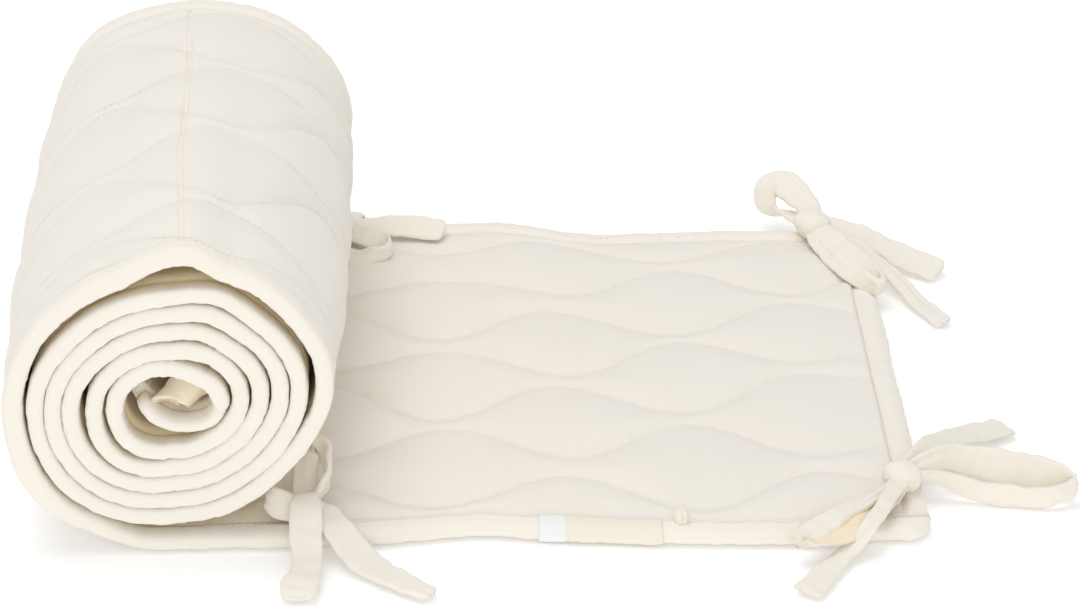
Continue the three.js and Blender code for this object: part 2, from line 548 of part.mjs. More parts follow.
const BOWS = {
  tie_end_near: {
    knot: { x: 321.8, y: -111.5, z: 15.4, long: 15, wide: 17, high: 12.5, turn: 20 },
    straps: {
      loopRight: [
        [327, -108.5, 15.5, 11, 2.6, 0, 0.5, 0.8],
        [340, -100.5, 14, 15, 2.4, 0, 0.4, 0.9],
        [352, -97, 12.4, 18, 2.4, 0, 0.35, 0.94],
        [364, -101, 11.2, 19, 2.4, 0, 0.3, 0.95],
        [376, -107.5, 10.6, 19, 2.4, 0, 0.3, 0.95],
        [387, -112.5, 9.8, 17, 2.4, -0.1, 0.2, 0.97],
        [394, -116.5, 8, 14, 2.4, -0.6, 0, 0.8],
        [391, -121, 6, 14, 2.4, -0.2, -0.6, 0.75],
        [381, -122.5, 3.6, 16, 2.4, 0, -0.95, 0.3],
        [369, -119.5, 2.2, 17, 2.4, 0.1, -1, 0.1],
        [357, -115.5, 4, 16, 2.4, 0.2, -1, 0.1],
        [346, -112, 9, 14, 2.4, 0.2, -0.9, 0.2],
        [336, -110, 13, 12, 2.4, 0, -0.9, 0.3],
        [327, -110, 14.5, 11, 2.4, 0, -0.8, 0.4],
      ],
      loopLeft: [
        [316, -117, 15.5, 12, 2.4, -0.3, 0.3, 0.9],
        [303, -130, 17.5, 15, 2.4, -0.4, 0.35, 0.85],
        [290, -141, 17.5, 17, 2.4, -0.4, 0.35, 0.85],
        [279, -151, 15.5, 16, 2.4, -0.4, 0.35, 0.85],
        [270, -158, 12.5, 14, 2.4, -0.5, 0.2, 0.85],
        [267, -163.5, 10, 12, 2.4, -0.5, -0.4, 0.7],
        [272, -163.5, 10, 14, 2.4, 0.4, -0.7, 0.3],
        [281, -155, 11.2, 17, 2.4, 0.65, -0.75, 0.1],
        [292, -144, 11.6, 18, 2.4, 0.68, -0.73, 0],
        [304, -131, 11.8, 16, 2.4, 0.68, -0.73, 0],
        [316, -119, 13.5, 12, 2.4, 0.6, -0.7, 0.3],
      ],
      tailFar: [
        [324, -106, 16, 12, 2.4, -0.5, 0.5, 0.6],
        [335, -87, 14.5, 13, 2.4, -0.6, 0.5, 0.4],
        [346, -73, 11, 15, 2.4, -0.6, 0.7, 0.2],
        [358, -61.5, 6, 17, 2.4, -0.5, 0.85, 0.1],
        [367, -54.5, 2.8, 18, 2.4, -0.5, 0.87, 0],
        [375, -50, 1.6, 19, 2.4, -0.5, 0.87, 0],
      ],
      tailNear: [
        [318.5, -118, 16, 12, 2.6, 0.85, -0.5, 0],
        [313.5, -135, 16.5, 13, 2.6, 0.85, -0.5, 0],
        [308, -146, 15.5, 14, 2.6, 0.8, -0.6, 0],
        [301, -156, 11.5, 15, 2.6, 0.75, -0.65, 0],
        [293.5, -163.5, 6, 16, 2.6, 0.7, -0.7, 0],
        [285.5, -170, 2.4, 17, 2.4, 0.7, -0.7, 0],
        [276, -180, 1.6, 19, 2.4, 0.75, -0.6, 0],
        [270, -191, 1.6, 22, 2.4, 0.8, -0.6, 0],
      ],
    },
  },
  tie_end_far: {
    knot: { x: 303.5, y: 140, z: 14.9, long: 19, wide: 15, high: 13, turn: -35 },
    straps: {
      loopUp: [
        [306, 145, 17.5, 11, 2.4, 0.4, 0.9, -0.3],
        [302, 157, 21.5, 12, 2.4, 0.6, 0.75, -0.2],
        [296, 169, 24.5, 13, 2.4, 0.6, 0.75, -0.1],
        [288, 176, 25.5, 14, 2.4, 0.3, 0.9, 0],
        [281.5, 175, 23, 14, 2.4, -0.3, 0.95, 0],
        [278, 170.5, 17, 13, 2.4, -0.5, 0.85, 0],
        [279.5, 168.5, 11.5, 12, 2.4, -0.2, 0.95, 0.1],
        [285.5, 165, 9, 12, 2.4, 0.3, 0.9, 0.2],
        [292.5, 158, 11, 11, 2.4, 0.6, 0.7, 0.2],
        [298.5, 147, 14, 10, 2.4, 0.7, 0.5, 0.2],
      ],
      loopCorner: [
        [306, 134, 16, 11, 2.6, 0.8, 0.4, 0.4],
        [313, 116, 16, 13, 2.6, 0.85, 0.4, 0.3],
        [320.5, 100, 15.5, 14, 2.6, 0.85, 0.4, 0.3],
        [328, 85, 14, 13, 2.6, 0.9, 0.3, 0.2],
        [332.5, 74, 11.5, 12, 2.6, 0.9, 0.2, 0],
        [329.5, 73, 10.6, 12, 2.4, 0.9, 0.3, 0],
        [321.5, 84, 11, 13, 2.4, 0.85, 0.4, 0],
        [313, 100, 11.2, 13, 2.4, 0.85, 0.4, 0],
        [306, 118, 11.5, 12, 2.4, 0.85, 0.4, 0],
        [303, 132, 13, 11, 2.4, 0.8, 0.3, 0],
      ],
      tailFar: [
        [309, 139.5, 16.5, 13, 2.4, 0.4, 0.8, 0.3],
        [322, 135, 15.5, 15, 2.4, 0.5, 0.85, 0.15],
        [335, 128.5, 12, 17, 2.4, 0.5, 0.85, 0.1],
        [347, 119.5, 7.5, 18, 2.4, 0.6, 0.8, 0],
        [356, 112.5, 4.2, 19, 2.4, 0.62, 0.78, 0],
        [363.5, 106, 2.4, 19.5, 2.4, 0.65, 0.76, 0],
      ],
      tailNear: [
        [308, 134, 17.5, 10, 4, 0.8, 0.5, 0],
        [322, 118, 17.5, 10, 4.5, 0.8, 0.5, 0],
        [334, 103, 14, 10, 4.5, 0.8, 0.5, 0],
        [342, 89, 8.5, 10, 4.5, 0.8, 0.5, 0],
        [349, 73, 4, 10, 4.5, 0.85, 0.5, 0],
        [358.5, 52, 2.6, 10, 4.5, 0.9, 0.4, 0],
      ],
    },
  },
  tie_roll_near: {
    knot: { x: 57, y: -139.5, z: 15.2, long: 15, wide: 16, high: 12, turn: 0 },
    straps: {
      loopBack: [
        [56.5, -134, 13.5, 12, 2.4, 1, 0, 0.1],
        [55.5, -118, 12.2, 16, 2.4, 1, 0, 0.1],
        [55, -102, 11.8, 17, 2.4, 1, 0.1, 0.1],
        [56.5, -89, 13.5, 15, 2.4, 0.9, 0.2, 0.3],
        [61, -83.5, 16.5, 13, 2.4, 0.5, 0.2, 0.8],
        [65.5, -90, 18.5, 14, 2.4, 0.1, 0, 1],
        [67, -103, 19, 15, 2.4, 0, 0, 1],
        [66.5, -117, 18.5, 14, 2.4, 0.1, 0, 1],
        [62, -131, 17, 11, 2.4, 0.3, 0, 0.9],
      ],
      loopSide: [
        [54, -134, 14.5, 10, 2.4, 0, 0.4, 0.9],
        [47.5, -136, 13, 8, 2.2, 0, 0.5, 0.8],
        [43.5, -141, 12.3, 7, 2.2, -0.5, 0.4, 0.7],
        [45.5, -148, 12.8, 8, 2.2, -0.7, 0.2, 0.6],
        [52, -148, 14, 10, 2.4, -0.3, -0.5, 0.8],
        [56, -143, 15, 10, 2.4, 0, -0.4, 0.9],
      ],
      tailLeft: [
        [57, -143, 16.5, 14, 2.8, 1, 0, 0.1],
        [57.4, -153, 15, 16, 2.8, 1, 0, 0.1],
        [58, -161, 10.5, 17, 2.8, 1, 0, 0],
        [58.5, -168, 5.5, 15, 3.2, 1, 0, 0],
        [57.5, -176, 4.2, 15, 5, 1, 0, 0],
        [56, -185, 4.6, 18, 7.5, 1, 0, 0],
        [55.8, -193, 3.8, 13, 5, 1, 0, 0],
      ],
      tailRight: [
        [62, -139, 16, 12, 2.6, 0.75, 0.6, 0.2],
        [72, -149, 16, 15, 2.6, 0.75, 0.6, 0.1],
        [79, -157.5, 12.5, 17, 2.6, 0.75, 0.65, 0],
        [86, -165, 7, 16, 2.6, 0.7, 0.7, 0],
        [94, -172.5, 3, 15, 2.6, 0.65, 0.75, 0],
        [103.5, -181, 1.8, 15, 2.6, 0.65, 0.75, 0],
        [112, -190.5, 1.8, 14, 2.6, 0.7, 0.7, 0],
      ],
    },
  },
  tie_roll_far: {
    knot: { x: 66, y: 141, z: 14.6, long: 15, wide: 15, high: 12, turn: 0 },
    straps: {
      loopRight: [
        [70, 137, 15, 11, 2.4, 0.3, 0.8, 0.5],
        [80, 130, 15.4, 13, 2.4, 0.4, 0.85, 0.3],
        [90, 124.5, 15, 15, 2.4, 0.5, 0.8, 0.3],
        [97, 118.5, 13.5, 14, 2.4, 0.3, 0.9, 0.2],
        [94, 113, 11.6, 13, 2.4, -0.4, 0.9, 0],
        [83, 111.5, 11.2, 14, 2.4, -0.1, 1, 0],
        [72, 115, 11.4, 14, 2.4, 0.4, 0.9, 0],
        [65, 124, 12, 13, 2.4, 0.8, 0.5, 0],
        [64, 136, 14, 11, 2.4, 1, 0, 0],
      ],
      loopBack: [
        [68, 146, 16, 11, 2.4, 1, 0, 0.1],
        [71, 157, 14, 14, 2.4, 1, -0.2, 0.1],
        [71.5, 167, 8.5, 15, 2.4, 1, -0.1, 0],
        [69.5, 175, 4.4, 14, 2.4, 1, 0, 0],
        [65.5, 173, 2.6, 14, 2.4, 1, 0, 0],
        [63, 164, 5, 14, 2.4, 1, 0, 0],
        [62.5, 156, 11.5, 13, 2.4, 1, 0, 0],
        [64, 146, 14.5, 11, 2.4, 1, 0, 0.1],
      ],
      tailRight: [
        [70, 143, 16, 12, 2.4, 0, 0.9, 0.4],
        [82, 146, 15, 15, 2.4, 0.05, 0.93, 0.36],
        [94, 146, 14.6, 16, 2.4, 0.1, 0.93, 0.36],
        [106, 144, 14.4, 16, 2.4, 0.15, 0.93, 0.34],
        [117, 141.5, 14, 16, 2.4, 0.15, 0.93, 0.32],
      ],
      tailBack: [
        [60, 143, 15.5, 12, 2.4, 0.8, 0.5, 0],
        [53, 154, 13.5, 15, 2.4, 0.8, 0.5, 0],
        [46, 164, 7, 16, 2.4, 0.8, 0.5, 0],
        [39, 174, 2.2, 17, 2.4, 0.8, 0.5, 0],
        [33, 185, 1.6, 18, 2.4, 0.85, 0.5, 0],
      ],
    },
  },
};

// The loose tie of the inner end, lying crumpled in the core.
const CORE_TIE = [
  [9, -88, 66.3, 11, 1.8, 1, 0, 0.05],
  [8.5, -104, 66.4, 11, 1.8, 1, 0, 0],
  [7, -119, 67.4, 12, 2, 1, 0, -0.1],
  [2, -131, 69.5, 11, 2, 0.85, 0.2, -0.5],
  [-2.5, -137, 74.5, 8, 2, 0.3, 0.8, -0.5],
  [0.5, -140, 78, 7, 2, 0.2, 0.9, 0.3],
  [6.5, -141, 76.5, 8, 2, 0.2, 0.8, 0.6],
  [11.5, -138, 72.5, 9, 2, 0.6, 0.5, 0.6],
  [13.5, -127, 71.5, 9, 2, 0.9, 0.1, 0.4],
];

// A blank label folded over the near binding, and a small cloth-covered button beside it.
const LABEL = { from: 156, to: 218.5, lift: 0.35, thick: 0.9, steps: 8 };
const LABEL_SECTION = [
  { reach: 1, height: 2.98 },
  { reach: 3.5, height: 4.2 },
  { reach: 8.5, height: 3.8 },
  { reach: 10.6, height: 1.4 },
];
const BUTTON = { x: 224, y: -143, z: 8.7, radius: 4.3, rise: 2.8 };

function labelGeometry() {
  const shell = new Shell();
  const rings = [];
  for (let i = 0; i <= LABEL.steps; i += 1) {
    const x = lerp(LABEL.to, LABEL.from, i / LABEL.steps);
    const station = { x, z: FLAT_HALF, flat: true, outX: 0, outZ: -1 };
    const point = (corner, lift) => {
      const across = -(PANEL_EDGE + SEWN_GAP + corner.reach + (corner.reach > 10 ? lift : 0));
      return shell.add(padPoint(station, across, -(corner.height + lift)));
    };
    const under = LABEL_SECTION.map((corner) => point(corner, LABEL.lift));
    const over = LABEL_SECTION.map((corner) => point(corner, LABEL.lift + LABEL.thick));
    rings.push([...under, ...over.reverse()]);
  }
  shell.tube(rings);
  return shell.geometry();
}

function buttonGeometry() {
  const profile = [[0, 0], [0.82, 0], [1, 0.35], [0.85, 0.75], [0.45, 1], [0.18, 0.8], [0, 0.78]];
  const points = profile.map(([r, h]) => new THREE.Vector2(r * BUTTON.radius, h * BUTTON.rise));
  const geometry = new THREE.LatheGeometry(points, 16);
  geometry.rotateX(Math.PI / 2);
  geometry.translate(BUTTON.x, BUTTON.y, BUTTON.z);
  return geometry;
}

const bumper = new THREE.Group();

function addPiece(name, geometry, colour) {
  const mesh = new THREE.Mesh(geometry, cloth(colour));
  mesh.name = name;
  bumper.add(mesh);
}

const flatEnd = stations[0];
const coreEnd = stations[stations.length - 3];

addPiece("quilted_panel", panelGeometry(), COLOURS.panel);
addPiece("binding_near", longBinding(-1), COLOURS.binding);
addPiece("binding_far", longBinding(1), COLOURS.binding);
addPiece("binding_flat_end", endBinding(flatEnd, 1), COLOURS.binding);
addPiece("binding_core_end", endBinding(coreEnd, 1), COLOURS.binding);
for (const [name, bow] of Object.entries(BOWS)) {
  addPiece(name, joined([knot(bow.knot), ...Object.values(bow.straps).map(strap)]), COLOURS.tie);
}
addPiece("tie_core", strap(CORE_TIE), COLOURS.tie);
addPiece("label_blank", labelGeometry(), COLOURS.label);
addPiece("button", buttonGeometry(), COLOURS.button);

export default bumper;
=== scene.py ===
"""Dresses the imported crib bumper: quilted cloth, rounded binding, bow ties, blank label, button,
stitches, a pale floor, soft light and the camera. Tables are in millimetres, the scene in metres."""

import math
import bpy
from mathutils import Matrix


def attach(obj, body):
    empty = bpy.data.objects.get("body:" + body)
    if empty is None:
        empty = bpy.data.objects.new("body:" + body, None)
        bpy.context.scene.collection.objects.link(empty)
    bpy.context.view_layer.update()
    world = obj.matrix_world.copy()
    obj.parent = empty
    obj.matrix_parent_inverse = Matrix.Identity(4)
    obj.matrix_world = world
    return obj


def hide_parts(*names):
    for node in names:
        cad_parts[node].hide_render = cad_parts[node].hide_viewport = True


bl_info = {
    "name": "Crib bumper dressing",
    "version": (1, 0, 0),
    "blender": (4, 5, 0),
    "location": "View3D > Sidebar > Bumper",
    "description": "Builds the cloth, stitches, stage and camera of a rolled crib bumper",
    "category": "Object",
}

import bmesh
import bpy
import numpy as np
from mathutils import Vector

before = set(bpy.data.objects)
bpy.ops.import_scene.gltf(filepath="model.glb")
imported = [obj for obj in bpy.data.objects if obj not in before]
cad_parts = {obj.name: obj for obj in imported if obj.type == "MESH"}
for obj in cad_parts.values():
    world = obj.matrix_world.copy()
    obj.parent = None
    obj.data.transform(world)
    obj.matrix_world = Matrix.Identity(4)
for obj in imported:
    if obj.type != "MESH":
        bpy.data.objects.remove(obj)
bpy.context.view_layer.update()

MM = 0.001
BODY = "root"

# Driving sizes of the pad.
HALF_WIDTH = 150.0
FLAT_REACH = 330.0
BINDING_WIDTH = 12.0
SEWN_GAP = 0.3
PANEL_EDGE = HALF_WIDTH - BINDING_WIDTH
PANEL_END_X = FLAT_REACH - BINDING_WIDTH - SEWN_GAP
FLAT_HALF = 4.2
ROLLED_HALF = 3.7
BINDING_HALF = {"flat": 4.3, "turned": 3.9, "wound": 3.86}
SEAM_LAP = 0.3
FLAT_SPOT = 10.0
AXIS_HEIGHT = 70.5
FIRST_RADIUS = 66.3

# Steps of the path: degrees of turn for each millimetre of step, the binding's share of the step in the inner
# turns, millimetres across the core, how much of the last turn leads into it, and where the shown piece ends.
TURN_STEP = {"panel": 0.85, "binding": 0.9}
INNER_BINDING_STEP = 0.7
CORE_STEP = {"panel": 3.0, "binding": 2.0}
CORE_LEAD = 14.0
SHOWN_END = 364
WOUND_COLUMNS = 35

# The outer turn: angle from the bottom through the left, and the middle's distance from the axis.
OUTER_TURN = {
    "angle": [30, 45, 60, 75, 90, 105, 120, 135, 150, 163, 180, 190, 203, 215, 240, 252, 270, 285, 300, 315,
              340],
    "near": [67.0, 69.0, 69.2, 68.2, 67.5, 65.5, 63.8, 61.4, 60.6, 60.6, 66.2, 68.8, 65.8, 67.2, 68.2, 69.4,
             66.2, 60.8, 56.4, 54.3, 53.0],
    "far": [67.0, 69.0, 69.5, 69.6, 69.4, 67.6, 67.4, 68.6, 67.2, 65.6, 65.9, 66.2, 67.2, 68.4, 69.9, 70.1,
            68.7, 64.0, 58.4, 55.3, 53.0],
}

# The turns inside it, at the near end.
INNER_TURNS = {
    "angle": [0, 45, 90, 135, 180, 205, 225, 250, 270, 290, 315, 340],
    "second": [52.9, 59.1, 57.9, 50.0, 48.9, 54.0, 54.4, 57.4, 55.8, 51.0, 46.6, 45.2],
    "third": [45.1, 51.3, 50.2, 42.3, 41.1, 45.4, 46.2, 49.2, 47.6, 43.2, 39.1, 37.7],
    "fourth": [37.4, 43.5, 42.5, 34.6, 33.2, 36.0, 37.6, 40.2, 39.2, 35.5, 31.6, 30.2],
    "fifth": [29.7, 35.0, 32.2, 26.9, 24.7, 27.0, 29.3, 31.2, 30.8, 28.0, 24.2, 22.7],
    "sixth": [22.0, 24.9, 23.4, 19.2, 16.8, 17.0, 18.4, 21.4, 22.4],
}
DENT_DEPTH = 4

# The inner end lies across the core.
CORE_END = {
    "x": [19.2, 15.6, 11.0, 5.5, 0.0, -5.0, -9.3, -13.2],
    "z": [64.0, 61.4, 60.2, 60.0, 60.9, 63.4, 67.4, 72.6],
}

TAPER = {"wider": 0.02, "lower": 0.028, "shift": -1.95}

# How far the near and far edges of the flat part lie off their straight lines.
EDGE_DRIFT = {
    "x": [0, 45, 90, 129, 150, 166, 180, 203, 254, 298, 330],
    "near": [0, 0.5, 2.5, 7.5, 5.6, 4, 2.6, 0.5, -2.5, -1, 1],
    "far": [3, 7, 12.5, 13, 13, 8, 2.5, -1.5, 1, -0.5, -1.5],
}

# Ogee quilting: each wavy seam turns back at these places along the pad, with one row for each seam.
SEAM_TURNS = [-343, -286, -230, -173, -116, -60, -3, 85, 174, 230, 290, 350, 410]
SEAMS = [
    [-136.5, -136.5, -136.4, -136.5, -136.6, -136.6, -136.6, -136.6, -116, -136.6, -120, -136.6, -136.6],
    [-122.5, -96.1, -129.7, -102.8, -133, -107, -131, -106, -111, -96, -110, -104, -131],
    [-65.2, -83, -51.2, -87, -62.4, -86.3, -58, -86, -52, -88, -36, -86, -58],
    [-16.2, -3.4, -41.4, -18.7, -55.3, -14.8, -46.5, -14, -45, -14.5, -24, -15, -46],
    [23.9, 6.6, 29.3, -9.3, 11.4, -3.6, 23, -5, 28, -7, 46, -5, 23],
    [47.3, 69.2, 35.1, 57.1, 22.6, 57.9, 30.5, 58, 36, 59, 53, 58, 31],
    [106.3, 76.5, 105.7, 74.5, 84.4, 71.6, 98.5, 74, 108, 65, 98, 72, 98],
    [114.3, 136.2, 115.3, 132.2, 113.8, 134.2, 113.5, 134, 117, 134, 115, 134, 114],
]
SEAM_SINK = 2.0
PUFF_RISE = 4.6
PUFF_WIDTH = 28.0
ROLL_RELIEF = 0.8
BELLY = 2.4

# The roll's lower left swells, and a thin fold runs along its top, where the path takes finer steps.
SWELL = {"angle": 55.0, "reach": 28.0, "rise": 2.2}
# FOLD's shade is painted shade in the fold's groove.
FOLD = {"along": 213.2, "slant": -0.0325, "reach": 0.9, "deep": 1.6, "ridge": 0.25, "shade": 0.03}
FOLD_STEPS = {"from": 176.0, "to": 191.6, "step": 0.4}

# Ties. The rows of a strap: its middle, its width and thickness, and the direction across it. A row that
# gives fewer numbers keeps the rest of the row before it.
TIES = {
    "tie_end_near": {
        "knot": {"at": (319.5, -115, 13.6), "size": (17, 19, 13.5), "turn": 20},
        "loop_right": [
            (324, -110.5, 14.5, 9, 3, 0, 0.6, 0.7), (340, -102.5, 16, 12.5, 2.8, 0, 0.6, 0.75),
            (352, -101, 13, 15), (365, -103.5, 11.8, 16), (377.5, -107, 10.5, 16.5, 2.8, 0, 0.55, 0.8),
            (389, -111.5, 10.2, 14.5, 2.8, 0, 0.3, 0.9), (396, -116.5, 9, 11, 3, -0.1, 0.1, 1),
            (387.5, -121, 7, 11, 3, 0.1, -0.1), (377, -121, 5.5, 12.5, 3, 0.1, -0.2, 0.9),
            (364.5, -119, 6, 13.5), (351.5, -116, 7, 13, 3, 0.1, -0.3), (339, -113.5, 11, 11, 3, 0, -0.4),
            (324, -113, 13, 9, 3, 0, -0.6, 0.6)],
        "loop_left": [
            (318, -118, 14.5, 6, 2.8, -0.6, 0.6, 0.45), (311, -128, 15, 5.5, 2.8, -0.6, 0.65),
            (302, -137.5, 14.8, 6), (293.3, -143.5, 14.3, 7.5),
            (284, -152.4, 13.6, 10.5, 2.8, -0.6, 0.6, 0.5), (276, -160, 12.8, 11.5, 2.8, -0.6, 0.5, 0.6),
            (270, -164.5, 11.2, 10, 2.8, -0.5, -0.1, 0.85), (273.5, -163.5, 9.7, 9.5, 2.6, 0.3, -0.85, 0.4),
            (282.5, -159.5, 9.8, 13, 2.4, 0.65, -0.7, -0.1),
            (291.5, -153, 10.2, 15, 2.4, 0.7, -0.68, -0.18), (300.5, -143.5, 10.6, 14.5, 2.4, 0.72, -0.66),
            (308.5, -133, 11, 12, 2.6, 0.72, -0.66, -0.1), (319, -120, 12.5, 9, 2.8, 0.6, -0.7, 0.2)],
        "tail_far": [
            (322, -111, 14.5, 10, 3, -0.5, 0.5, 0.6), (335, -88, 13, 12, 3, -0.6, 0.5, 0.4),
            (346, -74, 9.4, 13, 3, -0.6, 0.7, 0.2), (358, -62.5, 5.6, 15, 2.8, -0.5, 0.85, 0.1),
            (367, -55.5, 3.2, 16.5, 2.8, -0.5, 0.87, 0), (376, -50, 2.2, 18)],
        "tail_near": [
            (319.5, -119, 15, 9, 3.2, 0.85, -0.5, 0), (313.5, -131, 16, 8.5),
            (307.5, -144, 15.3, 8, 3.2, 0.8, -0.6), (301, -154.5, 12, 8, 3.2, 0.75, -0.65),
            (295.5, -159.5, 7.4, 8.5, 3.2, 0.72, -0.7), (288.5, -165.5, 3.8, 9.5, 3.2, 0.7),
            (280, -178, 2.8, 12, 3, 0.7, -0.65, -0.05), (270.5, -193.5, 2.8, 14.5, 3, 0.68, -0.68, -0.08)],
    },
    "tie_end_far": {
        "knot": {"at": (303.5, 140, 15), "size": (20, 18, 14), "turn": -55},
        "loop_up": [
            (305, 143, 16.5, 10, 3, 0.6, 0.7, 0.3), (300.5, 154, 20.8, 13, 2.8, 0.7, 0.5, 0.45),
            (294, 163, 24.4, 14.5, 2.8, 0.7, 0.4, 0.5), (287.5, 168, 25, 14.5, 2.8, 0.2, 0.5, 0.6),
            (282.8, 168, 21.2, 14.5, 2.8, -0.6, 0.55, 0.3), (282.6, 165.5, 15.6, 13, 2.8, -0.85, 0.4, 0),
            (287, 161, 13, 11.5, 2.8, -0.5, 0.8, -0.3), (293.5, 154.5, 13.4, 11, 2.8, 0.3, 0.9, -0.2),
            (300, 145, 14.5, 9, 3, 0.7, 0.5, 0.2)],
        "loop_corner": [
            (305, 136, 15.5, 10, 3, 0.8, 0.4, 0.4), (312.5, 117, 15.6, 12.5, 3, 0.85, 0.4, 0.35),
            (319.5, 101, 15.2, 13.5), (326.5, 86.5, 14, 11.5, 3, 0.6, 0.3, 0.75),
            (331.8, 76.5, 12.8, 9, 3, 0.1, 0.1, 1), (329.2, 74.2, 12.4, 9, 3, 0, -0.1),
            (321.6, 85, 12.4, 11, 3, 0.6, 0.3, 0.6), (314, 100.5, 12.6, 12, 3, 0.8, 0.4, 0.3),
            (307.4, 118, 12.8, 11), (303.2, 134, 13.6, 9, 3, 0.8, 0.3, 0.2)],
        "tail_far": [
            (306, 140.5, 16, 10, 3.2, 0.4, 0.8, 0.3), (322, 134, 13.4, 13, 3, 0.5, 0.85, 0.2),
            (335, 127.5, 9.8, 14.5, 2.8), (346.5, 119.5, 6.5, 15.5, 2.8, 0.5, 0.8, 0.3),
            (356, 112.8, 4.6, 16, 2.8, 0.4), (364.8, 107, 3.8, 16.5, 2.6, 0.3, 0.85)],
        "tail_near": [
            (306, 135, 16, 9, 4, 0.8, 0.5, 0), (322, 118, 13.6), (334, 102.5, 10, 9.5), (343, 88, 6.2),
            (350, 73, 3.6, 9.5, 4, 0.85), (360, 53, 2.8, 10.5, 3.8, 0.9, 0.4)],
    },
    "tie_roll_near": {
        "knot": {"at": (58.5, -139, 14.5), "size": (14, 15, 12), "turn": 75},
        "loop_back": [
            (57, -137, 14, 10, 2.8, 1, 0, 0.1), (56.6, -126.6, 17.2, 11.5),
            (56.6, -117.8, 20.7, 11.5, 2.8, 1, 0.1), (57.8, -110.6, 24.8, 11, 2.8, 0.9, 0.2, 0.3),
            (61.4, -107.6, 28.6, 10, 2.8, 0.5, 0.2, 0.8), (65.6, -111.2, 29, 11, 2.8, 0.25, 0, 0.95),
            (67, -118.3, 26.6, 12, 2.8, 0.15, 0.2), (66.6, -126, 22.6, 11, 2.8, 0.2),
            (61, -135.4, 17.2, 9, 3, 0.4, 0, 0.85)],
        "loop_side": [
            (57.5, -138, 15, 11, 3, 0.3, 0.45, 0.85), (52, -138.5, 15.4, 12.5), (47, -137.5, 16.6, 13),
            (43.5, -135.5, 18, 12), (41.5, -133, 18.5, 10, 3, 0.3, 0.3),
            (43, -131.5, 17, 9.5, 3, 0.2, 0.5, 0.8), (49.5, -132.5, 14.5, 10, 3, 0.1),
            (58, -136, 14, 9, 3, 0)],
        "tail_left": [
            (57, -133.5, 15.5, 10, 3.4, 1, 0, 0.1), (57.2, -137, 20.3, 11.5), (57.6, -142, 21.6, 12.5),
            (58, -149, 19, 14, 3.2), (58.4, -157, 13.6, 14.5, 3.2, 1, 0, 0), (59, -166, 7.6, 13.5, 3.4),
            (58.6, -176, 4.8, 14, 4.8), (56.6, -185, 4.8, 17, 6.5), (56, -194, 3.8, 15, 5)],
        "tail_right": [
            (60, -138, 15.5, 10, 3.2, 0.75, 0.6, 0.2), (66.5, -143.5, 15, 12.5, 3.2, 0.8, 0.5, 0.1),
            (71.5, -150.5, 12.6, 14.5, 3.2, 0.85, 0.5, 0), (77, -157.6, 7.6, 16),
            (84.5, -166, 3.6, 16.5, 3.2, 0.78, 0.62), (97, -178.5, 2.8, 14, 3.2, 0.7, 0.72),
            (112.5, -191, 2.8, 10, 3.2, 0.62, 0.78)],
    },
    "tie_roll_far": {
        "knot": {"at": (66, 141, 14.6), "size": (16.5, 16.5, 13), "turn": 0},
        "loop_right": [
            (68, 138, 15, 10, 3, 0.3, 0.8, 0.5), (78, 130.5, 15.2, 12.5, 3, 0.4, 0.85, 0.3),
            (85, 126, 14.6, 12.5, 3, 0.4, 0.8, 0.5), (90, 120.5, 13.4, 9.5, 3, 0.1, 0.3, 0.95),
            (88, 115.5, 12.8, 9.5, 3, 0, -0.1, 1), (80, 113.5, 12, 11, 3, 0, 0.7, 0.7),
            (72, 116, 11.4, 12.5, 3, 0.4, 0.9, 0), (65, 124, 12, 11.5, 3, 0.8, 0.5),
            (64, 138, 13.6, 9, 3, 1, 0)],
        "loop_back": [
            (68, 143, 15.5, 10, 3, 1, 0, 0.1), (71, 157, 14, 13, 3, 1, -0.2),
            (71.5, 167, 8.5, 13, 3, 1, -0.1, 0), (69.5, 175, 4.6, 11, 3, 1, 0), (65.5, 173.5, 3),
            (63, 164, 5, 12), (62.5, 156, 11.5, 11), (64, 144, 14, 9, 3, 1, 0, 0.1)],
        "tail_right": [
            (67, 142, 15, 10, 3, 0, 0.9, 0.4), (80, 144.5, 13.4, 13, 3, 0.05, 0.93, 0.36),
            (93, 145.5, 13.6, 14.5, 2.8, 0.1), (106, 143.5, 13.4, 15.5, 2.8, 0.15, 0.93, 0.34),
            (118, 141, 13, 16.5, 2.6, 0.15, 0.93, 0.32)],
        "tail_back": [
            (62, 141, 15, 10, 3, 0.8, 0.5, 0), (53, 154, 13.5, 13.5), (46, 164, 7, 14.5),
            (39, 174, 2.8, 15.5), (33, 185, 2.2, 16.5, 2.8, 0.85)],
    },
    "tie_core": {
        "loop_loose": [
            (9.5, -92, 66.4, 11, 2.4, 1, 0, 0.05), (9, -106, 66.6, 12, 2.4, 1, 0, 0),
            (8, -120, 66.8, 14, 2.6, 1, 0, -0.1), (3, -132, 67.4, 15, 2.6, 0.9, 0.2, -0.3),
            (-1.5, -138.5, 70.5, 13, 2.6, 0.6, 0.6, -0.4), (-1, -141.5, 75, 12, 2.6, 0.5, 0.7, 0.2),
            (5.5, -142, 77.4, 12.5, 2.6, 0.4, 0.7, 0.5), (11.4, -141.5, 74.4, 13, 2.6, 0.5, 0.5, 0.6),
            (13.6, -137, 70, 12.5, 2.6, 0.8, 0.2, 0.5), (12.5, -124, 69, 10, 2.4, 0.9, 0.1, 0.4)],
    },
}

# The cloth wound in each knot, and the step along a strap.
KNOT_WRAP = 60.0
TIE_STEP = 1.4

# Shares of painted shade, in the shade colour: inside the named loops, inside any other loop, and outside.
PAINTED_LOOP_SHADE = {"loop_left": 0.75, "loop_loose": 0.85, "loop_back": 0.1}
PAINTED_PLAIN_LOOP_SHADE = 0.04
PAINTED_OUTER_SHADE = {"loop_loose": 0.5}

